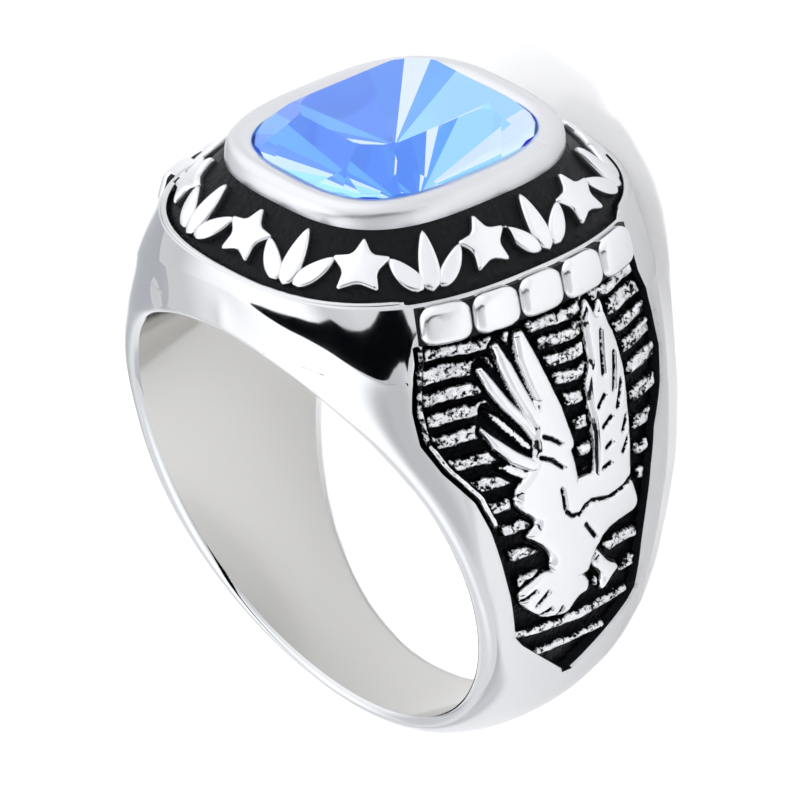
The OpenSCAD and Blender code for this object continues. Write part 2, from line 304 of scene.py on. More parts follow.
@dataclass(frozen=True)
class Finish:
    """Base of all finishes, each a real material with its surface."""

    name: str = ""

    def make(self) -> bpy.types.Material:
        """Make the material and draw its nodes."""
        material = bpy.data.materials.new(self.name)
        material.use_nodes = True
        material.node_tree.nodes.clear()
        tree = material.node_tree
        out = add_node(tree, "ShaderNodeOutputMaterial")
        tree.links.new(self.draw(tree), out.inputs["Surface"])
        return material

    def draw(self, tree: bpy.types.NodeTree) -> bpy.types.NodeSocket:
        """Draw the nodes and return the shader's socket."""
        raise NotImplementedError


@dataclass(frozen=True)
class PolishedSteel(Finish):
    """Stainless steel, cast and mirror polished by wheel.

    It reflects like a bright, barely blurred mirror, with the faintest waviness left by the wheel.
    """

    name: str = "polished_steel"
    colour: str = "#C7C8C9"
    roughness: float = 0.045
    # The haze moves the roughness between these shares of itself.
    swing: tuple[float, float] = (0.7, 1.5)
    haze_mm: float = 0.5
    wave_mm: float = 2.2
    wave_detail: float = 1.0
    wave_height_mm: float = 0.002
    stretch: tuple[float, float, float] = (1.0, 1.0, 1.0)

    def draw(self, tree: bpy.types.NodeTree) -> bpy.types.NodeSocket:
        """Draw the metal with its waves and a haze that comes and goes."""
        place = add_node(tree, "ShaderNodeTexCoord").outputs["Object"]
        spread = add_node(tree, "ShaderNodeMapping", {"Vector": place}, {"Scale": self.stretch})
        spread = spread.outputs["Vector"]
        haze = add_node(tree, "ShaderNodeTexNoise", {"Vector": spread},
                        {"Scale": grain(self.haze_mm), "Detail": 3.0})
        rough = add_node(tree, "ShaderNodeMapRange", {"Value": haze.outputs["Fac"]},
                         {"To Min": self.roughness * self.swing[0], "To Max": self.roughness * self.swing[1]})
        wave = add_node(tree, "ShaderNodeTexNoise", {"Vector": spread},
                        {"Scale": grain(self.wave_mm), "Detail": self.wave_detail})
        bump = add_node(tree, "ShaderNodeBump", {"Height": wave.outputs["Fac"]},
                        {"Strength": 1.0, "Distance": self.wave_height_mm * MM})
        shader = add_node(tree, "ShaderNodeBsdfPrincipled",
                          {"Roughness": rough.outputs["Result"], "Normal": bump.outputs["Normal"]},
                          {"Base Color": linear(self.colour), "Metallic": 1.0})
        return shader.outputs["BSDF"]


@dataclass(frozen=True)
class TumbledSteel(PolishedSteel):
    """Stainless steel tumbled with fine media: bright, but too soft to show a clear reflection."""

    name: str = "tumbled_steel"
    colour: str = "#DEDFE1"
    roughness: float = 0.2


@dataclass(frozen=True)
class SatinSteel(PolishedSteel):
    """Stainless steel brushed with a fine abrasive: soft, with hairlines that are long across the ring."""

    name: str = "satin_steel"
    colour: str = "#CDCED0"
    roughness: float = 0.3
    swing: tuple[float, float] = (0.8, 1.2)
    haze_mm: float = 0.09
    wave_mm: float = 0.09
    wave_detail: float = 3.0
    wave_height_mm: float = 0.0012
    stretch: tuple[float, float, float] = (0.06, 1.0, 0.06)


@dataclass(frozen=True)
class HoleSteel(SatinSteel):
    """Stainless steel of the finger hole, brushed with a finer belt: brighter, with a dim mirror's sheen."""

    name: str = "hole_steel"
    colour: str = "#D8D7D4"
    roughness: float = 0.13
    haze_mm: float = 0.12
    wave_mm: float = 0.12
    wave_height_mm: float = 0.0005


@dataclass(frozen=True)
class BlackenedSteel(Finish):
    """Recessed steel with a black chemical oxide: nearly black, with a dull sheen over the cast skin."""

    name: str = "blackened_steel"
    colour: str = "#060709"
    roughness: float = 0.45
    skin_mm: float = 0.3
    skin_height_mm: float = 0.12

    def draw(self, tree: bpy.types.NodeTree) -> bpy.types.NodeSocket:
        """Draw the oxide over the cast skin's fine lumps."""
        place = add_node(tree, "ShaderNodeTexCoord").outputs["Object"]
        skin = add_node(tree, "ShaderNodeTexNoise", {"Vector": place},
                        {"Scale": grain(self.skin_mm), "Detail": 4.0})
        bump = add_node(tree, "ShaderNodeBump", {"Height": skin.outputs["Fac"]},
                        {"Strength": 1.0, "Distance": self.skin_height_mm * MM})
        shader = add_node(tree, "ShaderNodeBsdfPrincipled", {"Normal": bump.outputs["Normal"]},
                          {"Base Color": linear(self.colour), "Metallic": 0.0, "Roughness": self.roughness,
                           "Specular IOR Level": 0.12})
        return shader.outputs["BSDF"]


@dataclass(frozen=True)
class RubbedRelief(Finish):
    """Cast steel relief, blackened all over and then polished back on what stands up.

    The attribute "polish" says how much of the oxide the wheel took: bright and glossy at 1,
    black at 0, and speckled between, where the cast skin kept the oxide in its pits.
    """

    name: str = "rubbed_relief"
    bright: str = "#DEDFE1"
    dark: str = "#08090B"
    pit_mm: float = 0.16
    pit_height_mm: float = 0.03
    smooth_roughness: float = 0.1
    rough_roughness: float = 0.4
    # The pits' noise is used between these values, and shifts the oxide's edge by up to sway.
    pit_range: tuple[float, float] = (0.3, 0.7)
    sway: float = 0.3
    # Levels of "polish" over which the oxide ends, the steel turns smooth and the pits are ground off.
    bare_levels: tuple[float, float] = (0.42, 0.62)
    smooth_levels: tuple[float, float] = (0.6, 0.95)
    pit_levels: tuple[float, float] = (0.55, 0.9)

    def draw(self, tree: bpy.types.NodeTree) -> bpy.types.NodeSocket:
        """Draw the oxide's edge with the pits of the cast skin."""
        place = add_node(tree, "ShaderNodeTexCoord").outputs["Object"]
        polish = add_node(tree, "ShaderNodeAttribute", attribute_name="polish").outputs["Fac"]
        pits = add_node(tree, "ShaderNodeTexNoise", {"Vector": place},
                        {"Scale": grain(self.pit_mm), "Detail": 4.0, "Roughness": 0.6})
        spread = add_node(tree, "ShaderNodeMapRange", {"Value": pits.outputs["Fac"]},
                          {"From Min": self.pit_range[0], "From Max": self.pit_range[1],
                           "To Min": -self.sway, "To Max": self.sway})
        level = add_node(tree, "ShaderNodeMath", {0: polish, 1: spread.outputs["Result"]}, operation="ADD")
        bare = add_node(tree, "ShaderNodeMapRange", {"Value": level.outputs["Value"]},
                        {"From Min": self.bare_levels[0], "From Max": self.bare_levels[1]},
                        interpolation_type="SMOOTHSTEP")
        colour = add_node(tree, "ShaderNodeMix", {"Factor": bare.outputs["Result"]}, data_type="RGBA")
        pick_socket(colour.inputs, "A").default_value = linear(self.dark)
        pick_socket(colour.inputs, "B").default_value = linear(self.bright)
        rough = add_node(tree, "ShaderNodeMapRange", {"Value": polish},
                         {"From Min": self.smooth_levels[0], "From Max": self.smooth_levels[1],
                          "To Min": self.rough_roughness, "To Max": self.smooth_roughness})
        depth = add_node(tree, "ShaderNodeMapRange", {"Value": polish},
                         {"From Min": self.pit_levels[0], "From Max": self.pit_levels[1],
                          "To Min": 1.0, "To Max": 0.0})
        bump = add_node(tree, "ShaderNodeBump",
                        {"Height": pits.outputs["Fac"], "Strength": depth.outputs["Result"]},
                        {"Distance": self.pit_height_mm * MM})
        shader = add_node(tree, "ShaderNodeBsdfPrincipled",
                          {"Base Color": pick_socket(colour.outputs, "Result"),
                           "Roughness": rough.outputs["Result"], "Normal": bump.outputs["Normal"]},
                          {"Metallic": 1.0})
        return shader.outputs["BSDF"]


@dataclass(frozen=True)
class CutCrystal(Finish):
    """Lead crystal, ground and polished flat on every facet: clear and glossy, with the palest blue.

    The stone's blue comes from the foil behind it and from the foil's painted glow.
    """

    name: str = "blue_crystal"
    colour: str = "#E2F1FF"
    ior: float = 1.58

    def draw(self, tree: bpy.types.NodeTree) -> bpy.types.NodeSocket:
        """Draw clear blue glass."""
        shader = add_node(tree, "ShaderNodeBsdfPrincipled", {},
                          {"Base Color": linear(self.colour), "Roughness": 0.0, "IOR": self.ior,
                           "Transmission Weight": 1.0})
        return shader.outputs["BSDF"]


@dataclass(frozen=True)
class FoilBack(Finish):
    """Mirror foil, vapour coated on the crystal's under side, which throws the light back in blues.

    Each facet has a painted glow in its own tone, from violet through blue and cyan to white, by the
    attribute "facet"; the white tones are painted highlights. The glow is painted light: a real facet
    sends light on by more mirrors than a render follows, so without the glow most of them would be dark.
    """

    name: str = "foil_back"
    painted_glow_tones: tuple[tuple[float, str], ...] = (
        (0.0, "#3A32C0"), (0.95, "#F8FDFF"), (0.16, "#4078E4"), (0.4, "#60AEF4"), (0.7, "#B4ECFF"))
    mirror: str = "#28427C"
    roughness: float = 0.1
    # Strength of the painted glow, which stands in for the light the facets would pass on.
    glow: float = 0.86

    def draw(self, tree: bpy.types.NodeTree) -> bpy.types.NodeSocket:
        """Draw each facet's foil with a painted glow in its own tone. The ramp has two stops, and the others
        are added.
        """
        tone = add_node(tree, "ShaderNodeAttribute", attribute_name="facet").outputs["Fac"]
        ramp = add_node(tree, "ShaderNodeValToRGB", {"Fac": tone})
        stops = ramp.color_ramp.elements
        for i, (at, code) in enumerate(self.painted_glow_tones):
            stop = stops[i] if i < 2 else stops.new(at)
            stop.position, stop.color = at, linear(code)
        shader = add_node(tree, "ShaderNodeBsdfPrincipled", {"Emission Color": ramp.outputs["Color"]},
                          {"Base Color": linear(self.mirror), "Metallic": 1.0, "Roughness": self.roughness,
                           "Emission Strength": self.glow})
        return shader.outputs["BSDF"]


def draw_lobe(tree: bpy.types.NodeTree, way: bpy.types.NodeSocket, aim: Vector,
              full: float, faint: float, gain: float) -> bpy.types.NodeSocket:
    """Draw a soft round lobe.

    Args:
        tree: Tree to draw in.
        way: Direction of each place.
        aim: Direction of the lobe's middle.
        full: Half angle of its full part, in degrees.
        faint: Half angle at which it has faded out.
        gain: Its value in the middle.

    Returns:
        The lobe's value.
    """
    near = add_node(tree, "ShaderNodeVectorMath", {0: way}, {1: aim}, operation="DOT_PRODUCT")
    lobe = add_node(tree, "ShaderNodeMapRange", {"Value": near.outputs["Value"]},
                    {"From Min": math.cos(math.radians(faint)), "From Max": math.cos(math.radians(full)),
                     "To Min": 0.0, "To Max": gain}, interpolation_type="SMOOTHSTEP")
    return lobe.outputs["Result"]


@dataclass(frozen=True)
class StudioPaper(Finish):
    """Matt white paper under the ring, with no gloss, and with painted shade that turns it greyer out of the
    picture.

    Each painted shade is a sector seen from the ring, greyer paper that the steel reflects as dimmer
    light: its azimuth, the half angles of its full and faint parts, how much of the grey it takes, and
    how far out it starts and is full, in metres.
    """

    name: str = "studio_paper"
    colour: str = "#D2D2D2"
    painted_shade_grey: str = "#85898F"
    painted_shades: tuple[tuple[float, ...], ...] = (
        (106, 12, 30, 0.7, 0.033, 0.046), (182, 14, 34, 0.5, 0.021, 0.03))

    def draw(self, tree: bpy.types.NodeTree) -> bpy.types.NodeSocket:
        """Draw the paper with its soft shades."""
        place = add_node(tree, "ShaderNodeTexCoord").outputs["Object"]
        way = add_node(tree, "ShaderNodeVectorMath", {0: place}, operation="NORMALIZE").outputs["Vector"]
        run = add_node(tree, "ShaderNodeVectorMath", {0: place}, operation="LENGTH").outputs["Value"]
        total = add_node(tree, "ShaderNodeValue").outputs["Value"]
        total.default_value = 0.0
        # Each sector paints shade onto the paper, easing in from its near radius out to its whole one.
        for az, full, faint, gain, near, whole in self.painted_shades:
            sector = draw_lobe(tree, way, toward(az, 0), full, faint, gain)
            shade = add_node(tree, "ShaderNodeMapRange", {"Value": run, "To Max": sector},
                             {"From Min": near, "From Max": whole, "To Min": 0.0},
                             interpolation_type="SMOOTHSTEP")
            total = add_node(tree, "ShaderNodeMath", {0: total, 1: shade.outputs["Result"]},
                             operation="ADD").outputs["Value"]
        colour = add_node(tree, "ShaderNodeMix", {"Factor": total}, data_type="RGBA")
        pick_socket(colour.inputs, "A").default_value = linear(self.colour)
        pick_socket(colour.inputs, "B").default_value = linear(self.painted_shade_grey)
        shader = add_node(tree, "ShaderNodeBsdfPrincipled",
                          {"Base Color": pick_socket(colour.outputs, "Result")},
                          {"Roughness": 0.9, "Specular IOR Level": 0.2})
        return shader.outputs["BSDF"]


@dataclass(frozen=True)
class DarkCard(Finish):
    """Black studio card, which only shows as a dark shape in the polished steel."""

    name: str = "studio_card"
    colour: str = "#05070A"

    def draw(self, tree: bpy.types.NodeTree) -> bpy.types.NodeSocket:
        """Draw a matt card."""
        shader = add_node(tree, "ShaderNodeBsdfPrincipled", {},
                          {"Base Color": linear(self.colour), "Roughness": 1.0, "Specular IOR Level": 0.0})
        return shader.outputs["BSDF"]


# ---------------------------------------------------------------- the ring's outside

class Spline:
    """Natural cubic spline that starts level."""

    def __init__(self, x: tuple[float, ...], y: tuple[float, ...]) -> None:
        """Solve the spline through y at x."""
        self.x, self.y = np.array(x, float), np.array(y, float)
        n, h = len(x), np.diff(self.x)
        a, r = np.zeros((n, n)), np.zeros(n)
        a[0, 0], a[0, 1], r[0] = 2 * h[0], h[0], 6 * (self.y[1] - self.y[0]) / h[0]
        a[-1, -1] = 1
        for i in range(1, n - 1):
            a[i, i - 1], a[i, i], a[i, i + 1] = h[i - 1], 2 * (h[i - 1] + h[i]), h[i]
            r[i] = 6 * ((self.y[i + 1] - self.y[i]) / h[i] - (self.y[i] - self.y[i - 1]) / h[i - 1])
        self.m, self.h = np.linalg.solve(a, r), h

    def __call__(self, v: np.ndarray) -> np.ndarray:
        """Value of the spline at v."""
        v = np.asarray(v, float)
        i = np.clip(np.searchsorted(self.x, v, side="right") - 1, 0, len(self.x) - 2)
        a, b, h, m, y = self.x[i + 1] - v, v - self.x[i], self.h[i], self.m, self.y
        return (m[i] * a ** 3 + m[i + 1] * b ** 3) / (6 * h) + (y[i] / h - m[i] * h / 6) * a \
            + (y[i + 1] / h - m[i + 1] * h / 6) * b


@dataclass
class RingSurface:
    """The polished outside of the band, shoulders and head, as one smooth function.

    A place is given by y along the finger and a station t in mm: under the hole's centre t is the
    arc from the side, negative, and over it t is the height.
    """

    # The finger hole's radius, the wall's least thickness at its edge, and the arc's own radius.
    bore: float = 9.9
    edge: float = 0.25
    arc: float = 11.3
    # Half width of the hole's rim from the band's bottom to the head, as four control values.
    rim: tuple[float, ...] = (2.1, 4.25, 4.95, 9.4)
    # Stations, with how far out the crest reaches at each and how round its section is.
    stations: tuple[float, ...] = (-17.75, -11.833, -5.029, 0, 4, 7.5, 9, 11, 12.95)
    reach: tuple[float, ...] = (11.1, 11.15, 11.65, 11.3, 10.98, 10.0, 9.65, 9.12, 8.25)
    roundness: tuple[float, ...] = (1.9, 2.1, 2.7, 3.7, 2.9, 2.32, 2.2, 2.45, 2.55)
    side_half: float = 9.55
    # The lip: half length across the finger, half width along it, roundness and height.
    lip: tuple[float, float, float, float] = (8.25, 9.5, 2.55, 12.95)
    # The crease round the head, by degrees from the finger's direction: its height, the roll's
    # slope under it, and how far the column over it leans in at its foot and at the lip.
    crease: tuple[tuple[float, ...], ...] = (
        (0, 12.1, 0.06, 0.02, 0.10), (8.7, 11.98, 0.06, 0.03, 0.13), (14.3, 11.81, 0.06, 0.045, 0.18),
        (22.5, 11.46, 0.06, 0.07, 0.27), (30.4, 11.17, 0.05, 0.11, 0.36), (35.3, 10.76, 0.04, 0.16, 0.45),
        (40.1, 10.3, 0.03, 0.22, 0.51), (43.7, 10.0, 0.01, 0.27, 0.55), (48.5, 9.75, -0.02, 0.30, 0.55),
        (60, 9.5, -0.1, 0.3, 0.5), (90, 9.4, -0.1, 0.3, 0.5))
    turns: int = 1081
    # The head's half width where it leaves the hole, and the lowest station it reaches down to.
    head_half: float = 9.6
    head_foot: float = 5.0
    # Degrees from the finger's direction over which the head's own form gives way to the shoulder's.
    head_fade: tuple[float, float] = (50, 60)
    # Over these degrees the roll takes over all of the wall's slope, from this share of it.
    roll_turns: tuple[float, float] = (38, 56)
    roll_share: float = 0.35
    # The rim's spread over the hole: slope over its top, swell at the shoulders, and the rounding
    # with which it meets the straight side.
    rim_slope: float = 0.674
    rim_swell: float = 0.12
    rim_blend: float = 0.12
    # Heights over which the shoulders swell, and how much, from where and over what height the
    # straight side draws in under the lip.
    swell_z: tuple[float, float] = (4, 9)
    taper: tuple[float, float, float] = (0.05, 11, 1.95)

    def __post_init__(self) -> None:
        """Solve the splines through the rows, and the head's roll and column at each turn."""
        self.start = -math.pi / 2 * self.arc
        stations = (self.start,) + tuple(self.stations[1:])
        self.out = Spline(stations, self.reach)
        self.round = Spline(stations, self.roundness)
        self.turn = np.linspace(0, math.pi, self.turns)
        away = np.degrees(np.minimum(self.turn, math.pi - self.turn))
        rows = np.array(self.crease)
        self.crease_z, self.roll_slope, self.foot_lean, self.lip_lean = (
            self.eased(np.interp(away, rows[:, 0], rows[:, i])) for i in range(1, 5))
        rise = np.clip(self.bore ** 2 - (self.head_half * np.sin(self.turn)) ** 2, 0, None)
        self.hole_z = np.maximum(np.sqrt(rise), self.head_foot)
        self.fade = 1 - smoothstep(away, *self.head_fade)
        far_step, near_step = 0.06, 0.02
        below, near = (
            np.array([np.interp(a, *self.wall_slice(z - d)) for a, z in zip(self.turn, self.hole_z)])
            for d in (far_step, near_step))
        slope = (near - below) / (far_step - near_step)
        self.hole_r = near + near_step * slope
        self.hole_slope = slope * (self.roll_share
                                   + (1 - self.roll_share) * smoothstep(away, *self.roll_turns))
        x, y, p, _ = self.lip
        self.lip_r = ((np.abs(np.sin(self.turn)) / x) ** p + (np.abs(np.cos(self.turn)) / y) ** p) ** (-1 / p)

    def eased(self, v: np.ndarray, window: int = 61) -> np.ndarray:
        """Smooth values along the turns, mirrored past both ends."""
        pad = window // 2
        ends = np.concatenate([v[pad:0:-1], v, v[-2:-pad - 2:-1]])
        return np.convolve(ends, np.ones(window) / window, "valid")

    def wall_slice(self, z: float) -> tuple[np.ndarray, np.ndarray]:
        """Turns and reaches of a level slice that swells out from the hole's wall."""
        w, p, foot = float(self.half(z)), float(self.round(z)), float(self.wall(z))
        x = foot + (float(self.out(z)) - foot) * np.abs(np.sin(self.turn)) ** (2 / p)
        y = -w * np.sign(np.cos(self.turn)) * np.abs(np.cos(self.turn)) ** (2 / p)
        x, y = np.concatenate([[0], x, [0]]), np.concatenate([[-w], y, [w]])
        return np.arctan2(x, -y), np.hypot(x, y)

    def slice(self, z: float | np.ndarray) -> np.ndarray:
        """Points round the head's +x half, from -y to +y.

        Args:
            z: Height of the slice, or its height at each turn.

        Returns:
            One point a turn.
        """
        z = np.broadcast_to(np.asarray(z, float), self.turn.shape)
        high, drop = np.maximum(self.lip[3] - self.crease_z, 1e-6), np.clip(self.lip[3] - z, 0, None)
        column = self.lip_r + self.lip_lean * drop - (self.lip_lean - self.foot_lean) * drop ** 2 / (2 * high)
        crest = self.lip_r + (self.lip_lean + self.foot_lean) * high / 2
        h = np.maximum(self.crease_z - self.hole_z, 1e-6)
        u = np.clip((z - self.hole_z) / h, 0, 1)
        roll = (2 * u ** 3 - 3 * u ** 2 + 1) * self.hole_r + (u ** 3 - 2 * u ** 2 + u) * h * self.hole_slope \
            + (3 * u ** 2 - 2 * u ** 3) * crest + (u ** 3 - u ** 2) * h * self.roll_slope
        shoulder = np.interp(self.turn, *self.wall_slice(float(z[self.turns // 2])))
        head = np.where(z < self.hole_z, shoulder, np.where(z > self.crease_z, column, roll))
        r = shoulder + (head - shoulder) * self.fade
        return np.stack([r * np.sin(self.turn), -r * np.cos(self.turn), z], -1)

    def crease_row(self, share: float, low: float, high: float, clear: float = 0.05) -> np.ndarray:
        """Heights by turn of a row between two levels, with the crease itself at share 0.

        Args:
            share: From -1 at the low level over 0 at the crease to 1 at the high level.
            low: The low level.
            high: The high level.
            clear: How far the crease stays from both.

        Returns:
            One height a turn.
        """
        middle = np.clip(self.crease_z, low + clear, high - clear)
        return middle + share * (high - middle if share > 0 else middle - low)

    def height(self, t: np.ndarray) -> np.ndarray:
        """Height over the hole's centre at the finger hole's wall."""
        return np.where(t < 0, -self.bore * np.cos(math.pi / 2 + t / self.arc), t)

    def half(self, t: np.ndarray) -> np.ndarray:
        """Half width along the finger at a station."""
        z = self.height(np.asarray(t, float))
        u = (np.clip(z / self.bore, -1, 1) + 1) / 2
        c = self.rim
        rim = c[0] * (1 - u) ** 3 + 3 * c[1] * u * (1 - u) ** 2 + 3 * c[2] * u * u * (1 - u) + c[3] * u ** 3
        a = rim + np.maximum(z - self.bore, 0) * self.rim_slope
        a = a + self.rim_swell * smoothstep(z, *self.swell_z)
        draw_in, low_z, over = self.taper
        b = self.side_half - draw_in * np.clip((z - low_z) / over, 0, 1) ** 2
        low, blend = np.minimum(a, b), self.rim_blend
        return low - blend * np.log(np.exp(-(a - low) / blend) + np.exp(-(b - low) / blend))

    def wall(self, t: np.ndarray) -> np.ndarray:
        """How far across the finger the straight side wall reaches, from the axis, at a station over 0."""
        z = np.maximum(t, 0)
        return np.sqrt(np.clip(self.bore ** 2 - z * z, 0, None)) * (1 + self.edge / self.bore)

    def at(self, y: np.ndarray, t: np.ndarray) -> np.ndarray:
        """Point of the outside.

        Args:
            y: Places along the finger.
            t: Stations.

        Returns:
            Points on the +x shoulder's side.
        """
        y, t = np.broadcast_arrays(np.asarray(y, float), np.asarray(t, float))
        share = np.abs(np.clip(y / self.half(t), -1, 1))
        places = self.spread(y, t, np.clip(1 - share ** self.round(t), 0, None) ** (1 / self.round(t)))
        middle = slice(self.turns // 6, self.turns - self.turns // 6)
        for level in np.unique(t[t > self.head_foot]):
            row, here = self.slice(level)[middle], t == level
            places[here, 0] = np.interp(y[here], row[:, 1], row[:, 0])
        return places

    def spread(self, y: np.ndarray, t: np.ndarray, rise: np.ndarray) -> np.ndarray:
        """Point at a share of the way from the side wall, 0, out to the section's crest, 1."""
        a = math.pi / 2 + np.minimum(t, 0) / self.arc
        foot = self.bore + self.edge
        r = foot + (self.out(t) - foot) * rise
        across = self.wall(t) + (self.out(t) - self.wall(t)) * rise
        x = np.where(t < 0, r * np.sin(a), across)
        z = np.where(t < 0, -r * np.cos(a), t)
        return np.stack([x, y + 0 * x, z], -1)

    def grid(self, y: np.ndarray, t: np.ndarray) -> tuple[np.ndarray, np.ndarray]:
        """Points and outward directions of the outside over a grid whose rows are level."""
        base = self.at(y, t)
        return base, unit(np.cross(np.gradient(base, axis=1), np.gradient(base, axis=0)))


# ---------------------------------------------------------------- relief drawing

class Sketch:
    """Flat drawing tools for a relief, over places y and t in mm. Distances are negative inside."""

    def __init__(self, y: np.ndarray, t: np.ndarray) -> None:
        """Keep the places to draw at."""
        self.p = np.stack([y, t], -1)

    def outline(self, points: list[tuple[float, float]], rounds: int = 2) -> np.ndarray:
        """Distance to a closed outline whose corners are cut rounder a number of times."""
        line = np.array(points, float)
        for _ in range(rounds):
            line = cut_corners(line, 0.25)
        a, b = line, np.roll(line, -1, 0)
        best, inside = np.full(self.p.shape[:-1], 1e9), np.zeros(self.p.shape[:-1], bool)
        px, py = self.p[..., 0], self.p[..., 1]
        for (ax, ay), (bx, by) in zip(a, b):
            ex, ey = bx - ax, by - ay
            u = np.clip(((px - ax) * ex + (py - ay) * ey) / max(ex * ex + ey * ey, 1e-12), 0, 1)
            best = np.minimum(best, (px - ax - u * ex) ** 2 + (py - ay - u * ey) ** 2)
            if ay != by:
                inside ^= ((ay > py) != (by > py)) & (px < (bx - ax) * (py - ay) / (by - ay) + ax)
        return np.where(inside, -1, 1) * np.sqrt(best)

    def stroke(self, rows: list | tuple) -> np.ndarray:
        """Distance to a stroke through rows of y, t and half width."""
        best = np.full(self.p.shape[:-1], 1e9)
        px, py = self.p[..., 0], self.p[..., 1]
        for (ax, ay, aw), (bx, by, bw) in zip(rows, rows[1:]):
            ex, ey = bx - ax, by - ay
            u = np.clip(((px - ax) * ex + (py - ay) * ey) / (ex * ex + ey * ey), 0, 1)
            best = np.minimum(best, np.hypot(px - ax - u * ex, py - ay - u * ey) - aw - u * (bw - aw))
        return best


def dome(distance: np.ndarray, radius: float) -> np.ndarray:
    """Rounded rise from 0 at an outline to 1 at radius inside it."""
    u = np.clip(-distance / radius, 0, 1)
    return np.sqrt(np.clip(1 - (1 - u) ** 2, 0, 1))


def lumps(y: np.ndarray, t: np.ndarray, size: float, seed: int, waves: int = 14) -> np.ndarray:
    """Smooth seeded noise with lumps of a size, mostly between -1 and 1, by summing turned waves."""
    rng = np.random.default_rng(seed)
    total = np.zeros(np.shape(y))
    for _ in range(waves):
        a, phase, k = rng.uniform(0, math.tau), rng.uniform(0, math.tau), rng.uniform(0.7, 1.6)
        total = total + np.sin((y * math.cos(a) + t * math.sin(a)) * math.tau * k / (2 * size) + phase)
    return total / 4


class Side(Enum):
    """The two shoulders."""

    RIGHT = 1
    LEFT = -1


# ---------------------------------------------------------------- casting

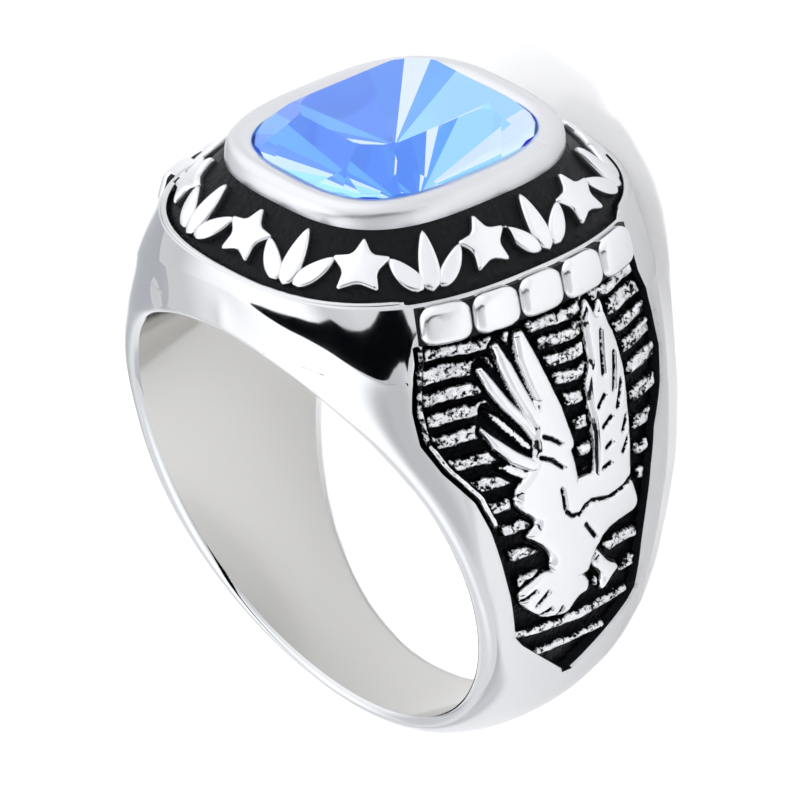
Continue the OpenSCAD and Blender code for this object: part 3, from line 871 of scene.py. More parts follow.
@dataclass
class Casting:
    """The cast body: band, shoulders and head up to the lip, with the finger hole through it."""

    surface: RingSurface
    # Radius of the finger hole's rounded edge, and how far the loft goes in past the hole's wall,
    # which is cut afterwards.
    rim_round: float = 0.3
    spare: float = 1.0
    # Points over the outside, of the fine curve they are picked from, and down the hole's side.
    across: int = 121
    fine: int = 801
    back_steps: int = 11
    # Rows of the loft, from the band's bottom up to the lip.
    band_rows: int = 96
    side_rows: int = 110
    roll_rows: int = 29
    column_rows: int = 25
    lip_z: float = 12.95
    lip_w: float = 0.3
    # Radii of the lip's outer and inner edges, and how far its inner wall goes down.
    lip_outer: float = 0.13
    lip_inner: float = 0.1
    lip_depth: float = 1.4
    # Behind the pads the casting stays pad_sink under the collar's ground, up to pad_half on both
    # sides of the middle and with an edge of this width.
    ground_z: float = 12.6
    pad_sink: float = 0.3
    pad_half: float = 5.8
    pad_edge: tuple[float, float] = (0.05, 0.1)
    hole_sides: int = 360
    hole_half: float = 14.0
    name: str = "casting"

    def section(self, t: float, heights: np.ndarray | None = None) -> np.ndarray:
        """Points round one section of the right half, evenly over the outside.

        Args:
            t: Station of the section.
            heights: Height at each turn of the head, for a section that isn't level.

        Returns:
            The outside from -y to +y, then the way back round the hole's side.
        """
        s = self.surface
        foot = float(s.wall(t))
        if t > s.head_foot:
            row = s.slice(t if heights is None else heights)
            near = row[:s.turns // 2]
            start = np.array([[np.interp(foot, near[:, 0], near[:, i]) for i in range(3)]])
            fan = np.vstack([start, row[row[:, 0] > foot + 1e-6], start * (1, -1, 1)])
        else:
            f = np.linspace(0, math.pi, self.fine)
            p, w = float(s.round(t)), float(s.half(t))
            fan = s.spread(-w * arc_power(np.cos(f), p), np.full_like(f, t), np.abs(np.sin(f)) ** (2 / p))
        fan = even_run(fan, self.across)
        fan[:, 1] = (fan[:, 1] - fan[::-1, 1]) / 2
        w, steps = fan[-1, 1], np.linspace(0, 1, self.back_steps)[1:, None]
        if t < 0:
            a = math.pi / 2 + t / s.arc
            r = s.bore + s.edge + (-self.spare - s.edge) * steps
            inner = np.hstack([r * math.sin(a), np.full_like(r, w), -r * math.cos(a)])
        else:
            end = max(math.sqrt(max(s.bore ** 2 - t * t, 0)) - self.spare, 0)
            inner = np.hstack([foot + (end - foot) * steps, np.full_like(steps, w),
                               np.full_like(steps, fan[-1, 2])])
        ring = np.vstack([fan, inner, inner[::-1] * (1, -1, 1)])
        inside = np.clip(s.bore + s.edge - np.hypot(ring[:, 0], ring[:, 2]), 0, self.rim_round)
        inside /= self.rim_round
        ring[:, 1] -= np.sign(ring[:, 1]) * self.rim_round * (1 - np.sqrt(1 - inside ** 2))
        return ring

    def lip_rows(self) -> list[np.ndarray]:
        """Rows over the rounded lip and down into the collar's channel."""
        base = self.section(self.lip_z)
        n = self.across
        fan = base[:n]
        tangent = unit(np.gradient(fan, axis=0))
        inward = np.stack([-tangent[:, 1], tangent[:, 0], 0 * tangent[:, 0]], 1)
        inward *= np.where(np.sum(inward * fan, 1) > 0, -1, 1)[:, None]
        inward[0], inward[-1] = (0, 1, 0), (0, -1, 0)
        outer, inner = self.lip_outer, self.lip_inner
        shape = [(outer * (1 - math.cos(a)), -outer * (1 - math.sin(a)))
                 for a in np.linspace(0, math.pi / 2, 6)]
        shape += [(self.lip_w - inner * (1 - math.sin(a)), -inner * (1 - math.cos(a)))
                  for a in np.linspace(0, math.pi / 2, 5)]
        shape += [(self.lip_w, -self.lip_depth)]
        rows, sunk = [], self.ground_z - self.pad_sink
        for offset, drop in shape:
            row = base.copy()
            row[:n] = fan + inward * offset
            row[:, 2] = self.lip_z + drop
            low = smoothstep(np.abs(row[:, 1]), self.pad_half - self.pad_edge[0],
                             self.pad_half + self.pad_edge[1])
            row[:, 2] = np.minimum(row[:, 2], sunk + low * (self.lip_z + drop - sunk))
            row[n:, 0] = np.minimum(row[n:, 0], row[0, 0])
            row[n:, 1] = np.clip(row[n:, 1], row[0, 1], row[n - 1, 1])
            rows.append(row)
        return rows

    def loft(self) -> bpy.types.Object:
        """Make the closed solid before its cuts."""
        s = self.surface
        band = s.start + np.linspace(0, 1, self.band_rows)[:-1] * -s.start
        side = s.bore * np.sin(np.linspace(0, math.pi / 2, self.side_rows))
        rows = [self.section(float(t)) for t in np.concatenate([band, side])]
        shares = np.concatenate([np.linspace(-1, 0, self.roll_rows)[1:],
                                 np.linspace(0, 1, self.column_rows)[1:]])
        levels = [s.crease_row(share, s.bore, self.lip_z - self.lip_outer) for share in shares]
        rows += [self.section(float(z[s.turns // 2]), z) for z in levels] + self.lip_rows()
        ring = len(rows[0])
        points = np.vstack(rows)
        points[:, 0] = np.where(points[:, 0] < 1e-4, 0, points[:, 0])
        faces = [f for f in tube_faces(len(rows), ring) if not all(points[i, 0] == 0 for i in f)]
        last = (len(rows) - 1) * ring
        faces.append(tuple(range(last, last + self.across)))
        mirrored = points * (-1, 1, 1)
        n = len(points)
        faces += [tuple(i + n for i in reversed(f)) for f in faces]
        piece = make_object(self.name, np.vstack([points, mirrored]), faces)
        heal(piece)
        return piece

    def hole(self) -> bpy.types.Object:
        """Make the finger hole's cutter."""
        n, r = self.hole_sides, self.surface.bore
        turn = np.arange(n) / n * math.tau
        ring = np.stack([r * np.cos(turn), 0 * turn, r * np.sin(turn)], 1)
        rows = np.stack([ring + (0, -self.hole_half, 0), ring + (0, self.hole_half, 0)])
        return make_prism("hole_cutter", rows, which=[1] * (n + 2))

    def cut(self, piece: bpy.types.Object, cutter: bpy.types.Object) -> None:
        """Cut one solid out of another."""
        step = piece.modifiers.new("cut", "BOOLEAN")
        step.operation, step.solver, step.object = "DIFFERENCE", "MANIFOLD", cutter
        bake(piece)
        discard(cutter)

    def smooth_over(self, piece: bpy.types.Object, uncut: bpy.types.Object) -> None:
        """Give the outside and the finger hole the normals of their true surfaces.

        Args:
            piece: The cut casting.
            uncut: The casting before its cuts, whose normals are smooth.
        """
        mesh, whole = piece.data, uncut.data
        places = [v.co.copy() for v in whole.vertices]
        tree = BVHTree.FromPolygons(places, [tuple(p.vertices) for p in whole.polygons])
        smooth = [v.normal.copy() for v in whole.vertices]
        found: dict[int, Vector] = {}
        normals = [Vector((0, 0, 0))] * len(mesh.loops)
        for face in mesh.polygons:
            for at in face.loop_indices:
                i = mesh.loops[at].vertex_index
                co = mesh.vertices[i].co
                if face.material_index == 1:
                    normals[at] = Vector((-co.x, 0, -co.z)).normalized()
                elif face.material_index > 1:
                    normals[at] = face.normal.copy()
                else:
                    if i not in found:
                        _, _, near, _ = tree.find_nearest(co)
                        corners = whole.polygons[near].vertices
                        weights = [1 / ((places[k] - co).length + 1e-5) ** 2 for k in corners]
                        total = sum((smooth[k] * w for k, w in zip(corners, weights)), Vector())
                        found[i] = total.normalized()
                    normals[at] = found[i]
        mesh.polygons.foreach_set("use_smooth", [True] * len(mesh.polygons))
        mesh.normals_split_custom_set(normals)
        mesh.update()

    def build(self, cutters: list[bpy.types.Object], finishes: list[bpy.types.Material]) -> bpy.types.Object:
        """Make the casting.

        Args:
            cutters: Solids of the shoulders' recesses.
            finishes: Polished outside, satin finger hole, blackened recess and polished bevel.

        Returns:
            The casting.
        """
        piece = self.loft()
        uncut = self.loft()
        for solid in (piece, *cutters):
            for finish in finishes:
                solid.data.materials.append(finish)
        self.cut(piece, self.hole())
        for cutter in cutters:
            self.cut(piece, cutter)
        self.smooth_over(piece, uncut)
        discard(uncut)
        return piece


# ---------------------------------------------------------------- shoulder panels

@dataclass
class ShoulderPanel:
    """The relief on one shoulder: an eagle over cross ribs on a blackened ground."""

    surface: RingSurface
    side: Side
    # The recess's half width by station.
    outline: tuple[tuple[float, float], ...] = (
        (-5.0, 0.12), (-4.0, 1.25), (-2.6, 2.9), (-2.1, 3.3), (0, 3.62), (1.6, 4.0), (3.2, 4.42), (4.6, 4.95),
        (6.0, 6.02), (7.2, 6.6), (8.6, 6.62), (9.6, 6.45), (10.5, 6.15), (11.2, 6.1))
    # Depth of the ground the relief stands on and of the recess cut for it, the bevel round the
    # recess, and the eagle's height.
    ground: float = 0.5
    sink: float = 0.62
    bevel: float = 0.16
    eagle: float = 0.5
    # The cutter: the bevel's width and depth as shares of it, how far the cutter stands out of the
    # surface, and its rows and columns.
    bevel_wide: float = 1.4
    bevel_deep: float = 0.6
    clear_out: float = 1.2
    cutter_rows: int = 160
    cutter_columns: int = 41
    # Stations of the cross ribs, with their half width and height.
    ribs: tuple[float, ...] = (10.65, 9.82, 8.98, 8.15, 7.25, 6.2, 5.15, 4.1, 3.0, 1.75, 0.45, -0.85)
    rib_half: float = 0.29
    rib_height: float = 0.34
    rib_round: float = 0.14
    # The bars under the eagle: y, t and half width along each, with its rounding.
    perches: tuple[tuple[tuple[tuple[float, float, float], ...], float], ...] = (
        (((-3.2, -2.1, 0.22), (0.3, -2.25, 0.26), (2.75, -1.98, 0.2)), 0.2),
        (((-1.9, -3.35, 0.2), (1.6, -3.3, 0.18)), 0.16))
    perch_height: float = 0.36
    # Where ribs and bars start again: from the eagle, and from the recess's edge, to which the
    # ribs come closer by rib_shift on the +y side.
    rib_clear: tuple[float, float] = (0.12, 0.26)
    perch_clear: tuple[float, float] = (0.05, 0.15)
    edge_clear: tuple[float, float] = (0.46, 0.58)
    rib_shift: float = 0.2
    # The narrow lip: height, distance of its middle from the edge, half widths of its full and
    # whole width, and the places -y and t over which it starts.
    lip_height: float = 0.46
    lip_middle: float = 0.33
    lip_wide: tuple[float, float] = (0.08, 0.15)
    lip_from_y: tuple[float, float] = (2.5, 4.0)
    lip_from_t: tuple[float, float] = (2.9, 3.6)
    groove_depth: float = 0.2
    groove_half: float = 0.1
    # How far the slab goes under the recess's ground and past its sides.
    slab: float = 0.3
    past: float = 0.15
    columns: int = 241
    rows: int = 380

    def half(self, t: np.ndarray) -> np.ndarray:
        """Half width of the panel at a station."""
        rows = np.array(self.outline)
        return np.interp(t, rows[:, 0], rows[:, 1])

    def cutter(self) -> bpy.types.Object:
        """Make the solid that hollows the recess, with a bright bevel round its edge."""
        t = np.linspace(self.outline[0][0], self.outline[-1][0], self.cutter_rows)
        half, wide = self.half(t), self.bevel * self.bevel_wide
        u = np.linspace(-1, 1, self.cutter_columns)
        y = np.hstack([-(half + wide)[:, None], u[None, :] * half[:, None], (half + wide)[:, None]])
        base, n = self.surface.grid(y, np.repeat(t[:, None], y.shape[1], 1))
        edge = n * self.bevel * self.bevel_deep
        low, high, flat = (base - n * self.sink)[:, 1:-1], (base + n * self.clear_out)[:, ::-1], len(u)
        inner, outer = base - edge, base + edge * 0.4
        points = np.concatenate([low, inner[:, -2:-1], outer[:, -1:], high, outer[:, :1], inner[:, 1:2]], 1)
        ring = points.shape[1]
        which = [3 if i % ring in (flat, ring - 2) else 2 for i in range((len(t) - 1) * ring)] + [2, 2]
        return make_prism(f"cutter_{self.side.name.lower()}", points * (self.side.value, 1, 1), which=which)

    def eagle_distance(self, s: Sketch) -> tuple[np.ndarray, np.ndarray]:
        """Draw the eagle.

        Args:
            s: Drawing over the panel.

        Returns:
            The distance to the eagle's outline, and its height from 0 to 1.
        """
        feathers = [
            [(-1.3, 10.5, 0.36), (-1.15, 9.7, 0.52), (-0.72, 8.4, 0.58), (-0.2, 7.0, 0.55), (0.1, 5.6, 0.5)],
            [(-2.5, 10.4, 0.24), (-2.2, 9.5, 0.36), (-1.87, 8.6, 0.38), (-1.35, 7.4, 0.36), (-0.7, 5.8, 0.4)],
            [(-3.38, 9.65, 0.22), (-2.98, 8.8, 0.32), (-2.45, 7.95, 0.3), (-1.7, 7.0, 0.28),
             (-1.0, 5.8, 0.3)],
            [(-3.55, 8.0, 0.12), (-3.05, 7.5, 0.26), (-2.4, 6.75, 0.27), (-1.75, 6.0, 0.24)],
            [(-3.85, 7.3, 0.12), (-3.3, 6.55, 0.3), (-2.6, 5.85, 0.33), (-1.7, 5.2, 0.3)],
            [(-3.45, 5.65, 0.12), (-2.9, 5.45, 0.3), (-2.2, 4.95, 0.3), (-1.2, 4.4, 0.3)],
        ]
        wing = [(-1.5, 7.2), (-0.6, 8.4), (-0.05, 7.6), (0.27, 6.7), (0.35, 5.6), (0.55, 4.5), (0.4, 3.2),
                (0.3, 2.6), (-1.9, 2.9), (-2.9, 3.6), (-3.0, 4.6), (-2.2, 4.9), (-1.6, 5.6)]
        far = [(2.51, 10.97), (2.2, 10.3), (2.11, 9.3), (2.14, 8.2), (1.8, 7.7), (1.6, 6.95), (1.64, 6.0),
               (1.45, 5.0), (1.3, 4.2), (1.0, 3.4), (0.5, 2.6), (3.3, 2.8), (3.4, 3.7), (3.75, 5.4),
               (3.95, 6.4), (4.12, 7.3), (4.1, 8.2), (3.96, 9.0), (3.76, 9.4), (3.62, 10.2), (3.42, 10.6),
               (3.2, 10.2), (3.05, 9.9), (2.8, 10.6)]
        body = [(-3.0, 4.4), (-3.1, 4.0), (-2.8, 3.5), (-2.25, 3.1), (-2.05, 2.75), (-2.55, 2.5), (-2.6, 2.2),
                (-2.1, 1.85), (-1.65, 1.5), (-1.35, 0.95), (-1.5, 0.5), (-0.6, -0.5), (0.72, -0.5),
                (0.9, 0.0), (1.25, 0.5), (1.56, 0.9), (2.1, 1.2), (2.8, 1.3), (3.4, 1.4), (3.7, 1.8),
                (3.64, 2.3), (3.35, 3.15), (2.0, 4.0), (0.5, 4.0)]
        tail = [(-1.4, 0.55), (-2.2, 0.35), (-3.2, 0.0), (-3.15, -0.5), (-2.7, -1.1), (-1.8, -1.75),
                (-0.95, -1.95), (-0.35, -1.95), (0.1, -1.4), (0.8, -1.3), (0.75, -0.4)]
        leg = [(1.1, 0.5), (1.4, 0.4), (1.85, -0.2), (2.3, -0.45), (2.42, -0.75), (2.06, -1.02), (1.67, -1.4),
               (1.36, -1.6), (1.3, -1.2), (1.35, -0.7), (0.8, -0.2)]
        # Each part's rounding inside its outline, in mm, and the height of its crest.
        tops = (0.9, 0.9, 0.75, 0.45, 0.85, 0.45)
        parts = [(s.stroke(rows), 0.34, top) for rows, top in zip(feathers, tops)]
        parts += [(s.outline(line), rounding, top) for line, rounding, top in (
            (wing, 0.5, 0.95), (far, 0.4, 0.92), (body, 0.55, 1.0), (tail, 0.4, 0.85), (leg, 0.35, 0.9))]
        distance, height = np.full(s.p.shape[:-1], 1e9), np.zeros(s.p.shape[:-1])
        for d, r, top in parts:
            distance = np.minimum(distance, d)
            height = np.maximum(height, dome(d, r) * top)
        return distance, height

    def grooves(self, s: Sketch) -> np.ndarray:
        """Depth from 0 to 1 of the lines cut into the eagle."""
        lines = [
            [(3.03, 9.3), (2.85, 8.5), (2.7, 7.6)], [(3.56, 8.2), (3.35, 7.5), (3.1, 6.8)],
            [(3.64, 7.05), (3.4, 6.6), (3.1, 6.1)], [(3.46, 5.6), (3.11, 5.1)], [(3.31, 4.75), (2.91, 4.3)],
            [(2.52, 6.77), (2.1, 6.43)], [(2.63, 5.85), (2.13, 5.59)], [(2.38, 4.88), (2.08, 4.75)],
            [(2.13, 4.09), (1.73, 3.99)],
            [(-0.5, 2.84), (-0.22, 2.56), (0.2, 2.49), (0.49, 2.76), (0.89, 2.87), (1.81, 2.68), (2.45, 2.81),
             (3.2, 3.05)],
            [(-1.03, 6.21), (-0.65, 6.01), (-0.27, 5.7)], [(-1.37, 5.45), (-0.87, 5.2), (-0.39, 4.74)],
            [(-2.26, -0.22), (-2.93, -0.45)], [(-1.58, -0.47), (-2.2, -0.9)],
            [(-1.43, -1.31), (-1.88, -1.41)],
            [(-0.81, -1.47), (-1.02, -1.73)], [(-0.61, 3.86), (-0.57, 3.05)], [(0.5, 1.92), (0.95, 1.24)],
        ]
        total = np.zeros(s.p.shape[:-1])
        for line in lines:
            d = s.stroke([(y, t, 0.0) for y, t in line])
            total = np.maximum(total, np.exp(-(np.maximum(d, 0) / self.groove_half) ** 2))
        return total

    def ribs_at(self, y: np.ndarray, t: np.ndarray, rough: np.ndarray) -> np.ndarray:
        """Form from 0 to 1 of the cross ribs, whose edges wander a little."""
        rib = np.zeros_like(y)
        wander = 0.05 * lumps(y, 0 * t, 1.6, 3) + 0.045 * rough
        for z in self.ribs:
            rib = np.maximum(rib, dome(np.abs(t - z - wander) - self.rib_half, self.rib_round))
        return rib

    def relief(self, y: np.ndarray, t: np.ndarray) -> tuple[np.ndarray, np.ndarray]:
        """Height over the ground in mm, and the polish from 0 to 1.

        The ribs and perch bars stop short of the eagle. A narrow lip follows the recess's edge on
        the -y side, over the middle stations. The ribs and bars are rubbed only in part, unevenly.
        """
        s = Sketch(y, t)
        distance, form = self.eagle_distance(s)
        cut = self.grooves(s)
        eagle = self.eagle * form - self.groove_depth * cut * (form > 0.3)
        slope = (self.half(t + 0.2) - self.half(t - 0.2)) / 0.4
        margin = (self.half(t) - np.abs(y)) / np.sqrt(1 + slope ** 2)
        rough, coarse, fine = lumps(y, t, 0.3, 5), lumps(y, t, 0.75, 12), lumps(y, t, 0.2, 9)
        rib = self.ribs_at(y, t, rough) * smoothstep(distance, *self.rib_clear) \
            * smoothstep(margin + self.rib_shift * (y > 0), *self.edge_clear)
        perch = np.maximum(*(dome(s.stroke(rows), rounding) for rows, rounding in self.perches))
        perch *= smoothstep(distance, *self.perch_clear)
        lip = (1 - smoothstep(np.abs(margin - self.lip_middle), *self.lip_wide)) \
            * smoothstep(-y, *self.lip_from_y) * smoothstep(t, *self.lip_from_t)
        rise = rib * (self.rib_height + 0.05 * rough)
        steps = np.maximum(rise, self.perch_height * perch)
        height = np.maximum(steps, np.maximum(eagle, self.lip_height * lip)) + 0.014 * fine * (form < 0.2)
        speckle = 0.6 + 0.1 * rough + 0.08 * coarse
        bare = 1 - (0.5 - 0.1 * rough) * smoothstep(t, 6.2, 7.4)
        polish = np.maximum(smoothstep(eagle / self.eagle, 0.25, 0.5) * (1 - 0.95 * cut),
                            np.maximum(rib * speckle, np.maximum(perch * (speckle + 0.06), lip * bare)))
        return height, np.clip(polish, 0, 1)

    def build(self, finish: bpy.types.Material) -> bpy.types.Object:
        """Make the relief as a closed slab let into the recess."""
        t = np.linspace(self.outline[0][0] - 0.05, self.outline[-1][0] + 0.1, self.rows)
        u = np.linspace(-1, 1, self.columns)
        y = u[None, :] * (self.half(t) + self.past)[:, None]
        tt = np.repeat(t[:, None], len(u), 1)
        height, polish = self.relief(y, tt)
        base, n = self.surface.grid(y, tt)
        top = base + n * (height - self.ground)[..., None]
        low = (base - n * (self.ground + self.slab))[:, [-1, 0]]
        points = np.concatenate([top, low], 1) * (self.side.value, 1, 1)
        polish = np.concatenate([polish, np.zeros((len(t), 2))], 1)
        return make_prism(f"shoulder_panel_{self.side.name.lower()}", points, [finish], polish=polish)


# ---------------------------------------------------------------- geometry nodes along a path

@dataclass
class PathRow:
    """Geometry Nodes tree that sets shapes in a row along a path and bends them to it.

    The path carries the attribute "up", across the row; the shapes are drawn flat, x along the
    row, y across it and z out of it.
    """

    name: str
    count: int
    first: float
    spacing: float
    inputs: dict[str, bpy.types.Object] = field(default_factory=dict)

    def tree(self) -> bpy.types.NodeTree:
        """Build the tree with its named inputs."""
        tree = bpy.data.node_groups.new(self.name, "GeometryNodeTree")
        face = tree.interface
        inputs = {"Path": "Geometry", "Count": "Int", "First": "Float", "Spacing": "Float", "Sink": "Float",
                  "Finish": "Material", **dict.fromkeys(self.inputs, "Object")}
        for label, kind in inputs.items():
            face.new_socket(label, in_out="INPUT", socket_type=f"NodeSocket{kind}")
        face.new_socket("Pieces", in_out="OUTPUT", socket_type="NodeSocketGeometry")
        given = add_node(tree, "NodeGroupInput").outputs
        curve = add_node(tree, "GeometryNodeMeshToCurve", {"Mesh": given["Path"]}).outputs["Curve"]
        start = add_node(tree, "ShaderNodeCombineXYZ", {"X": given["First"]}).outputs["Vector"]
        step = add_node(tree, "ShaderNodeCombineXYZ", {"X": given["Spacing"]}).outputs["Vector"]
        places = add_node(tree, "GeometryNodeMeshLine",
                          {"Count": given["Count"], "Start Location": start, "Offset": step}, mode="OFFSET")
        shapes = add_node(tree, "GeometryNodeGeometryToInstance")
        for label in self.inputs:
            info = add_node(tree, "GeometryNodeObjectInfo", {"Object": given[label]})
            tree.links.new(info.outputs["Geometry"], shapes.inputs["Geometry"])
        index = add_node(tree, "GeometryNodeInputIndex").outputs["Index"]
        turn = add_node(tree, "ShaderNodeMath", {0: index}, {1: float(len(self.inputs))}, operation="MODULO")
        dots = add_node(tree, "GeometryNodeInstanceOnPoints",
                        {"Points": places.outputs["Mesh"], "Instance": shapes.outputs["Instances"],
                         "Instance Index": turn.outputs["Value"]}, {"Pick Instance": True})
        real = add_node(tree, "GeometryNodeRealizeInstances", {"Geometry": dots.outputs["Instances"]})
        place = add_node(tree, "GeometryNodeInputPosition").outputs["Position"]
        axes = add_node(tree, "ShaderNodeSeparateXYZ", {"Vector": place}).outputs
        upward = add_node(tree, "GeometryNodeInputNamedAttribute", {}, {"Name": "up"},
                          data_type="FLOAT_VECTOR")
        across = pick_socket(upward.outputs, "Attribute")
        sample = add_node(tree, "GeometryNodeSampleCurve",
                          {"Curves": curve, "Value": across, "Length": axes["X"]},
                          data_type="FLOAT_VECTOR", mode="LENGTH", use_all_curves=False)
        up = pick_socket(sample.outputs, "Value")
        out = add_node(tree, "ShaderNodeVectorMath", {0: sample.outputs["Tangent"], 1: up},
                       operation="CROSS_PRODUCT")
        outward = add_node(tree, "ShaderNodeVectorMath", {0: out.outputs["Vector"]}, operation="NORMALIZE")
        lift = add_node(tree, "ShaderNodeMath", {0: axes["Z"], 1: given["Sink"]}, operation="SUBTRACT")
        side = add_node(tree, "ShaderNodeVectorMath", {0: up, "Scale": axes["Y"]}, operation="SCALE")
        rise = add_node(tree, "ShaderNodeVectorMath",
                        {0: outward.outputs["Vector"], "Scale": lift.outputs["Value"]}, operation="SCALE")
        both = add_node(tree, "ShaderNodeVectorMath", {0: side.outputs["Vector"], 1: rise.outputs["Vector"]})
        there = add_node(tree, "ShaderNodeVectorMath",
                         {0: both.outputs["Vector"], 1: sample.outputs["Position"]})
        bent = add_node(tree, "GeometryNodeSetPosition",
                        {"Geometry": real.outputs["Geometry"], "Position": there.outputs["Vector"]})
        dressed = add_node(tree, "GeometryNodeSetMaterial",
                           {"Geometry": bent.outputs["Geometry"], "Material": given["Finish"]})
        add_node(tree, "NodeGroupOutput", {"Pieces": dressed.outputs["Geometry"]})
        return tree

    def run(self, path: np.ndarray, up: np.ndarray, closed: bool, sink: float,
            finish: bpy.types.Material) -> bpy.types.Object:
        """Make the row as a plain mesh.

        Args:
            path: Points of the path.
            up: Direction across the row at each point.
            closed: Whether the path returns to its start.
            sink: How deep the shapes stand in the surface.
            finish: Their material.

        Returns:
            The finished row.
        """
        mesh = bpy.data.meshes.new(self.name)
        n = len(path)
        edges = [(i, (i + 1) % n) for i in range(n if closed else n - 1)]
        mesh.from_pydata([tuple(map(float, p)) for p in path], edges, [])
        mesh.attributes.new("up", "FLOAT_VECTOR", "POINT").data.foreach_set("vector", np.asarray(up).ravel())
        piece = link_object(self.name, mesh)
        step = piece.modifiers.new(self.name, "NODES")
        step.node_group = self.tree()
        given = {"Count": self.count, "First": self.first, "Spacing": self.spacing, "Sink": sink,
                 "Finish": finish, **self.inputs}
        sockets = {i.name: i.identifier for i in step.node_group.interface.items_tree if i.in_out == "INPUT"}
        for label, value in given.items():
            step[sockets[label]] = value
        bake(piece)
        discard(*self.inputs.values())
        heal(piece, 1e-5)
        piece.data.polygons.foreach_set("use_smooth", [True] * len(piece.data.polygons))
        return piece


def pillow(name: str, outline: np.ndarray, height: float, base: float, round_r: float,
           levels: int = 6) -> bpy.types.Object:
    """Make a cushioned solid over a flat outline.

    Args:
        name: The shape's name.
        outline: Its outline in the plane, counterclockwise, seen from the middle.
        height: Height of its crest.
        base: How far its wall goes under the plane.
        round_r: Share of the outline's size that the rounding takes.
        levels: Rings over the rounding.

    Returns:
        The solid.
    """
    n = len(outline)
    middle = outline.mean(0)
    flare, wall = 0.04, 0.6
    rings = [np.hstack([outline * (1 + flare) - middle * flare, np.full((n, 1), -base)]),
             np.hstack([outline, np.full((n, 1), height * wall)])]
    for a in np.linspace(0, math.pi / 2, levels + 1)[1:]:
        inset = 1 - round_r * (1 - math.cos(a))
        z = height * (wall + (1 - wall) * math.sin(a))
        rings.append(np.hstack([middle + (outline - middle) * inset, np.full((n, 1), z)]))
    return make_dome(name, rings, (*middle, height * 1.02))


# ---------------------------------------------------------------- collar, pads, bezel

@dataclass
class Collar:
    """The sloping collar round the bezel: blackened ground with raised stars and leaf sprays."""

    # The slope's foot and top: half length, half width, roundness and height.
    low: tuple[float, float, float, float] = (7.97, 9.22, 2.6, 12.6)
    high: tuple[float, float, float, float] = (5.74, 6.63, 2.95, 15.05)
    ornaments: int = 18
    sides: int = 240
    # How far the ground's ring reaches in under the bezel, as a share of its size, and down.
    under: float = 0.9
    skirt: float = 1.0
    slope_rows: int = 7
    path_points: int = 720
    star_r: float = 1.34
    star_waist: float = 0.53
    spray_h: float = 2.62
    # The spray's leaves: length, width and the foot's x and y as shares of its height, the lean in
    # degrees, and the share of the ornaments' rise.
    leaves: tuple[tuple[float, ...], ...] = (
        (1.0, 0.34, 0.0, -0.5, 0, 1.0), (0.76, 0.31, -0.13, -0.45, 40, 0.9),
        (0.76, 0.31, 0.13, -0.45, -40, 0.9))
    rise: float = 0.42
    base: float = 0.2

    def line(self, share: float, turn: np.ndarray) -> np.ndarray:
        """Points round the slope at a share of the way up it."""
        low = np.column_stack([cushion(*self.low[:3], turn), np.full(len(turn), self.low[3])])
        high = np.column_stack([cushion(*self.high[:3], turn), np.full(len(turn), self.high[3])])
        return low + (high - low) * share

    def ground(self, finish: bpy.types.Material) -> bpy.types.Object:
        """Make the slope as a closed ring let into the head."""
        turn = full_turn(self.sides)
        rings = [self.line(share, turn) for share in np.linspace(0, 1, self.slope_rows)]
        inner = rings[-1] * (self.under, self.under, 1)
        foot = np.column_stack([inner[:, :2], np.full(len(turn), self.low[3] - self.skirt)])
        skirt = rings[0] - (0, 0, self.skirt)
        rows = [skirt, *rings, inner, foot, skirt]
        piece = make_object("collar_ground", np.vstack(rows), tube_faces(len(rows), len(turn)), [finish])
        heal(piece)
        return piece

    def star(self) -> bpy.types.Object:
        """Draw the five-pointed star."""
        turn = np.arange(10) / 10 * math.tau + math.pi / 2
        r = np.where(np.arange(10) % 2 == 0, self.star_r, self.star_r * self.star_waist)
        line = np.stack([r * np.cos(turn), r * np.sin(turn)], 1)
        for _ in range(2):
            line = cut_corners(line, 0.15)
        return pillow("star_shape", line, self.rise, self.base, 0.3)

    def leaf(self, length: float, width: float, lean: float, foot: tuple[float, float]) -> np.ndarray:
        """Outline of a leaf that leans from its foot."""
        u = np.linspace(0, 1, 18)
        half = width / 2 * np.sin(math.pi * u ** 0.75) ** 0.6
        side = np.column_stack([half, u * length])
        line = np.vstack([side, (side * (-1, 1))[-2:0:-1]])
        a = math.radians(lean)
        turn = np.array([[math.cos(a), math.sin(a)], [-math.sin(a), math.cos(a)]])
        return line @ turn + foot

    def spray(self) -> bpy.types.Object:
        """Draw the spray of three leaves."""
        h = self.spray_h
        parts = [pillow("leaf_shape", self.leaf(h * length, h * width, lean, (h * x, h * y)),
                        self.rise * share, self.base, 0.4)
                 for length, width, x, y, lean, share in self.leaves]
        shape = bmesh.new()
        for part in parts:
            shape.from_mesh(part.data)
        discard(*parts)
        return link_object("spray_shape", close_mesh("spray_shape", shape))

    def row(self, finish: bpy.types.Material) -> bpy.types.Object:
        """Set the stars and sprays in turn round the slope."""
        turn = full_turn(self.path_points)
        middle, above = self.line(0.5, turn), self.line(0.6, turn)
        path = even_run(np.hstack([middle, unit(above - middle)]), self.path_points, closed=True)
        length = line_length(np.vstack([path, path[:1]])[:, :3])
        spacing = length / self.ornaments
        rows = PathRow("collar_ornaments", self.ornaments, spacing / 2, spacing,
                       {"Star": self.star(), "Spray": self.spray()})
        return rows.run(path[:, :3], unit(path[:, 3:]), True, 0.0, finish)


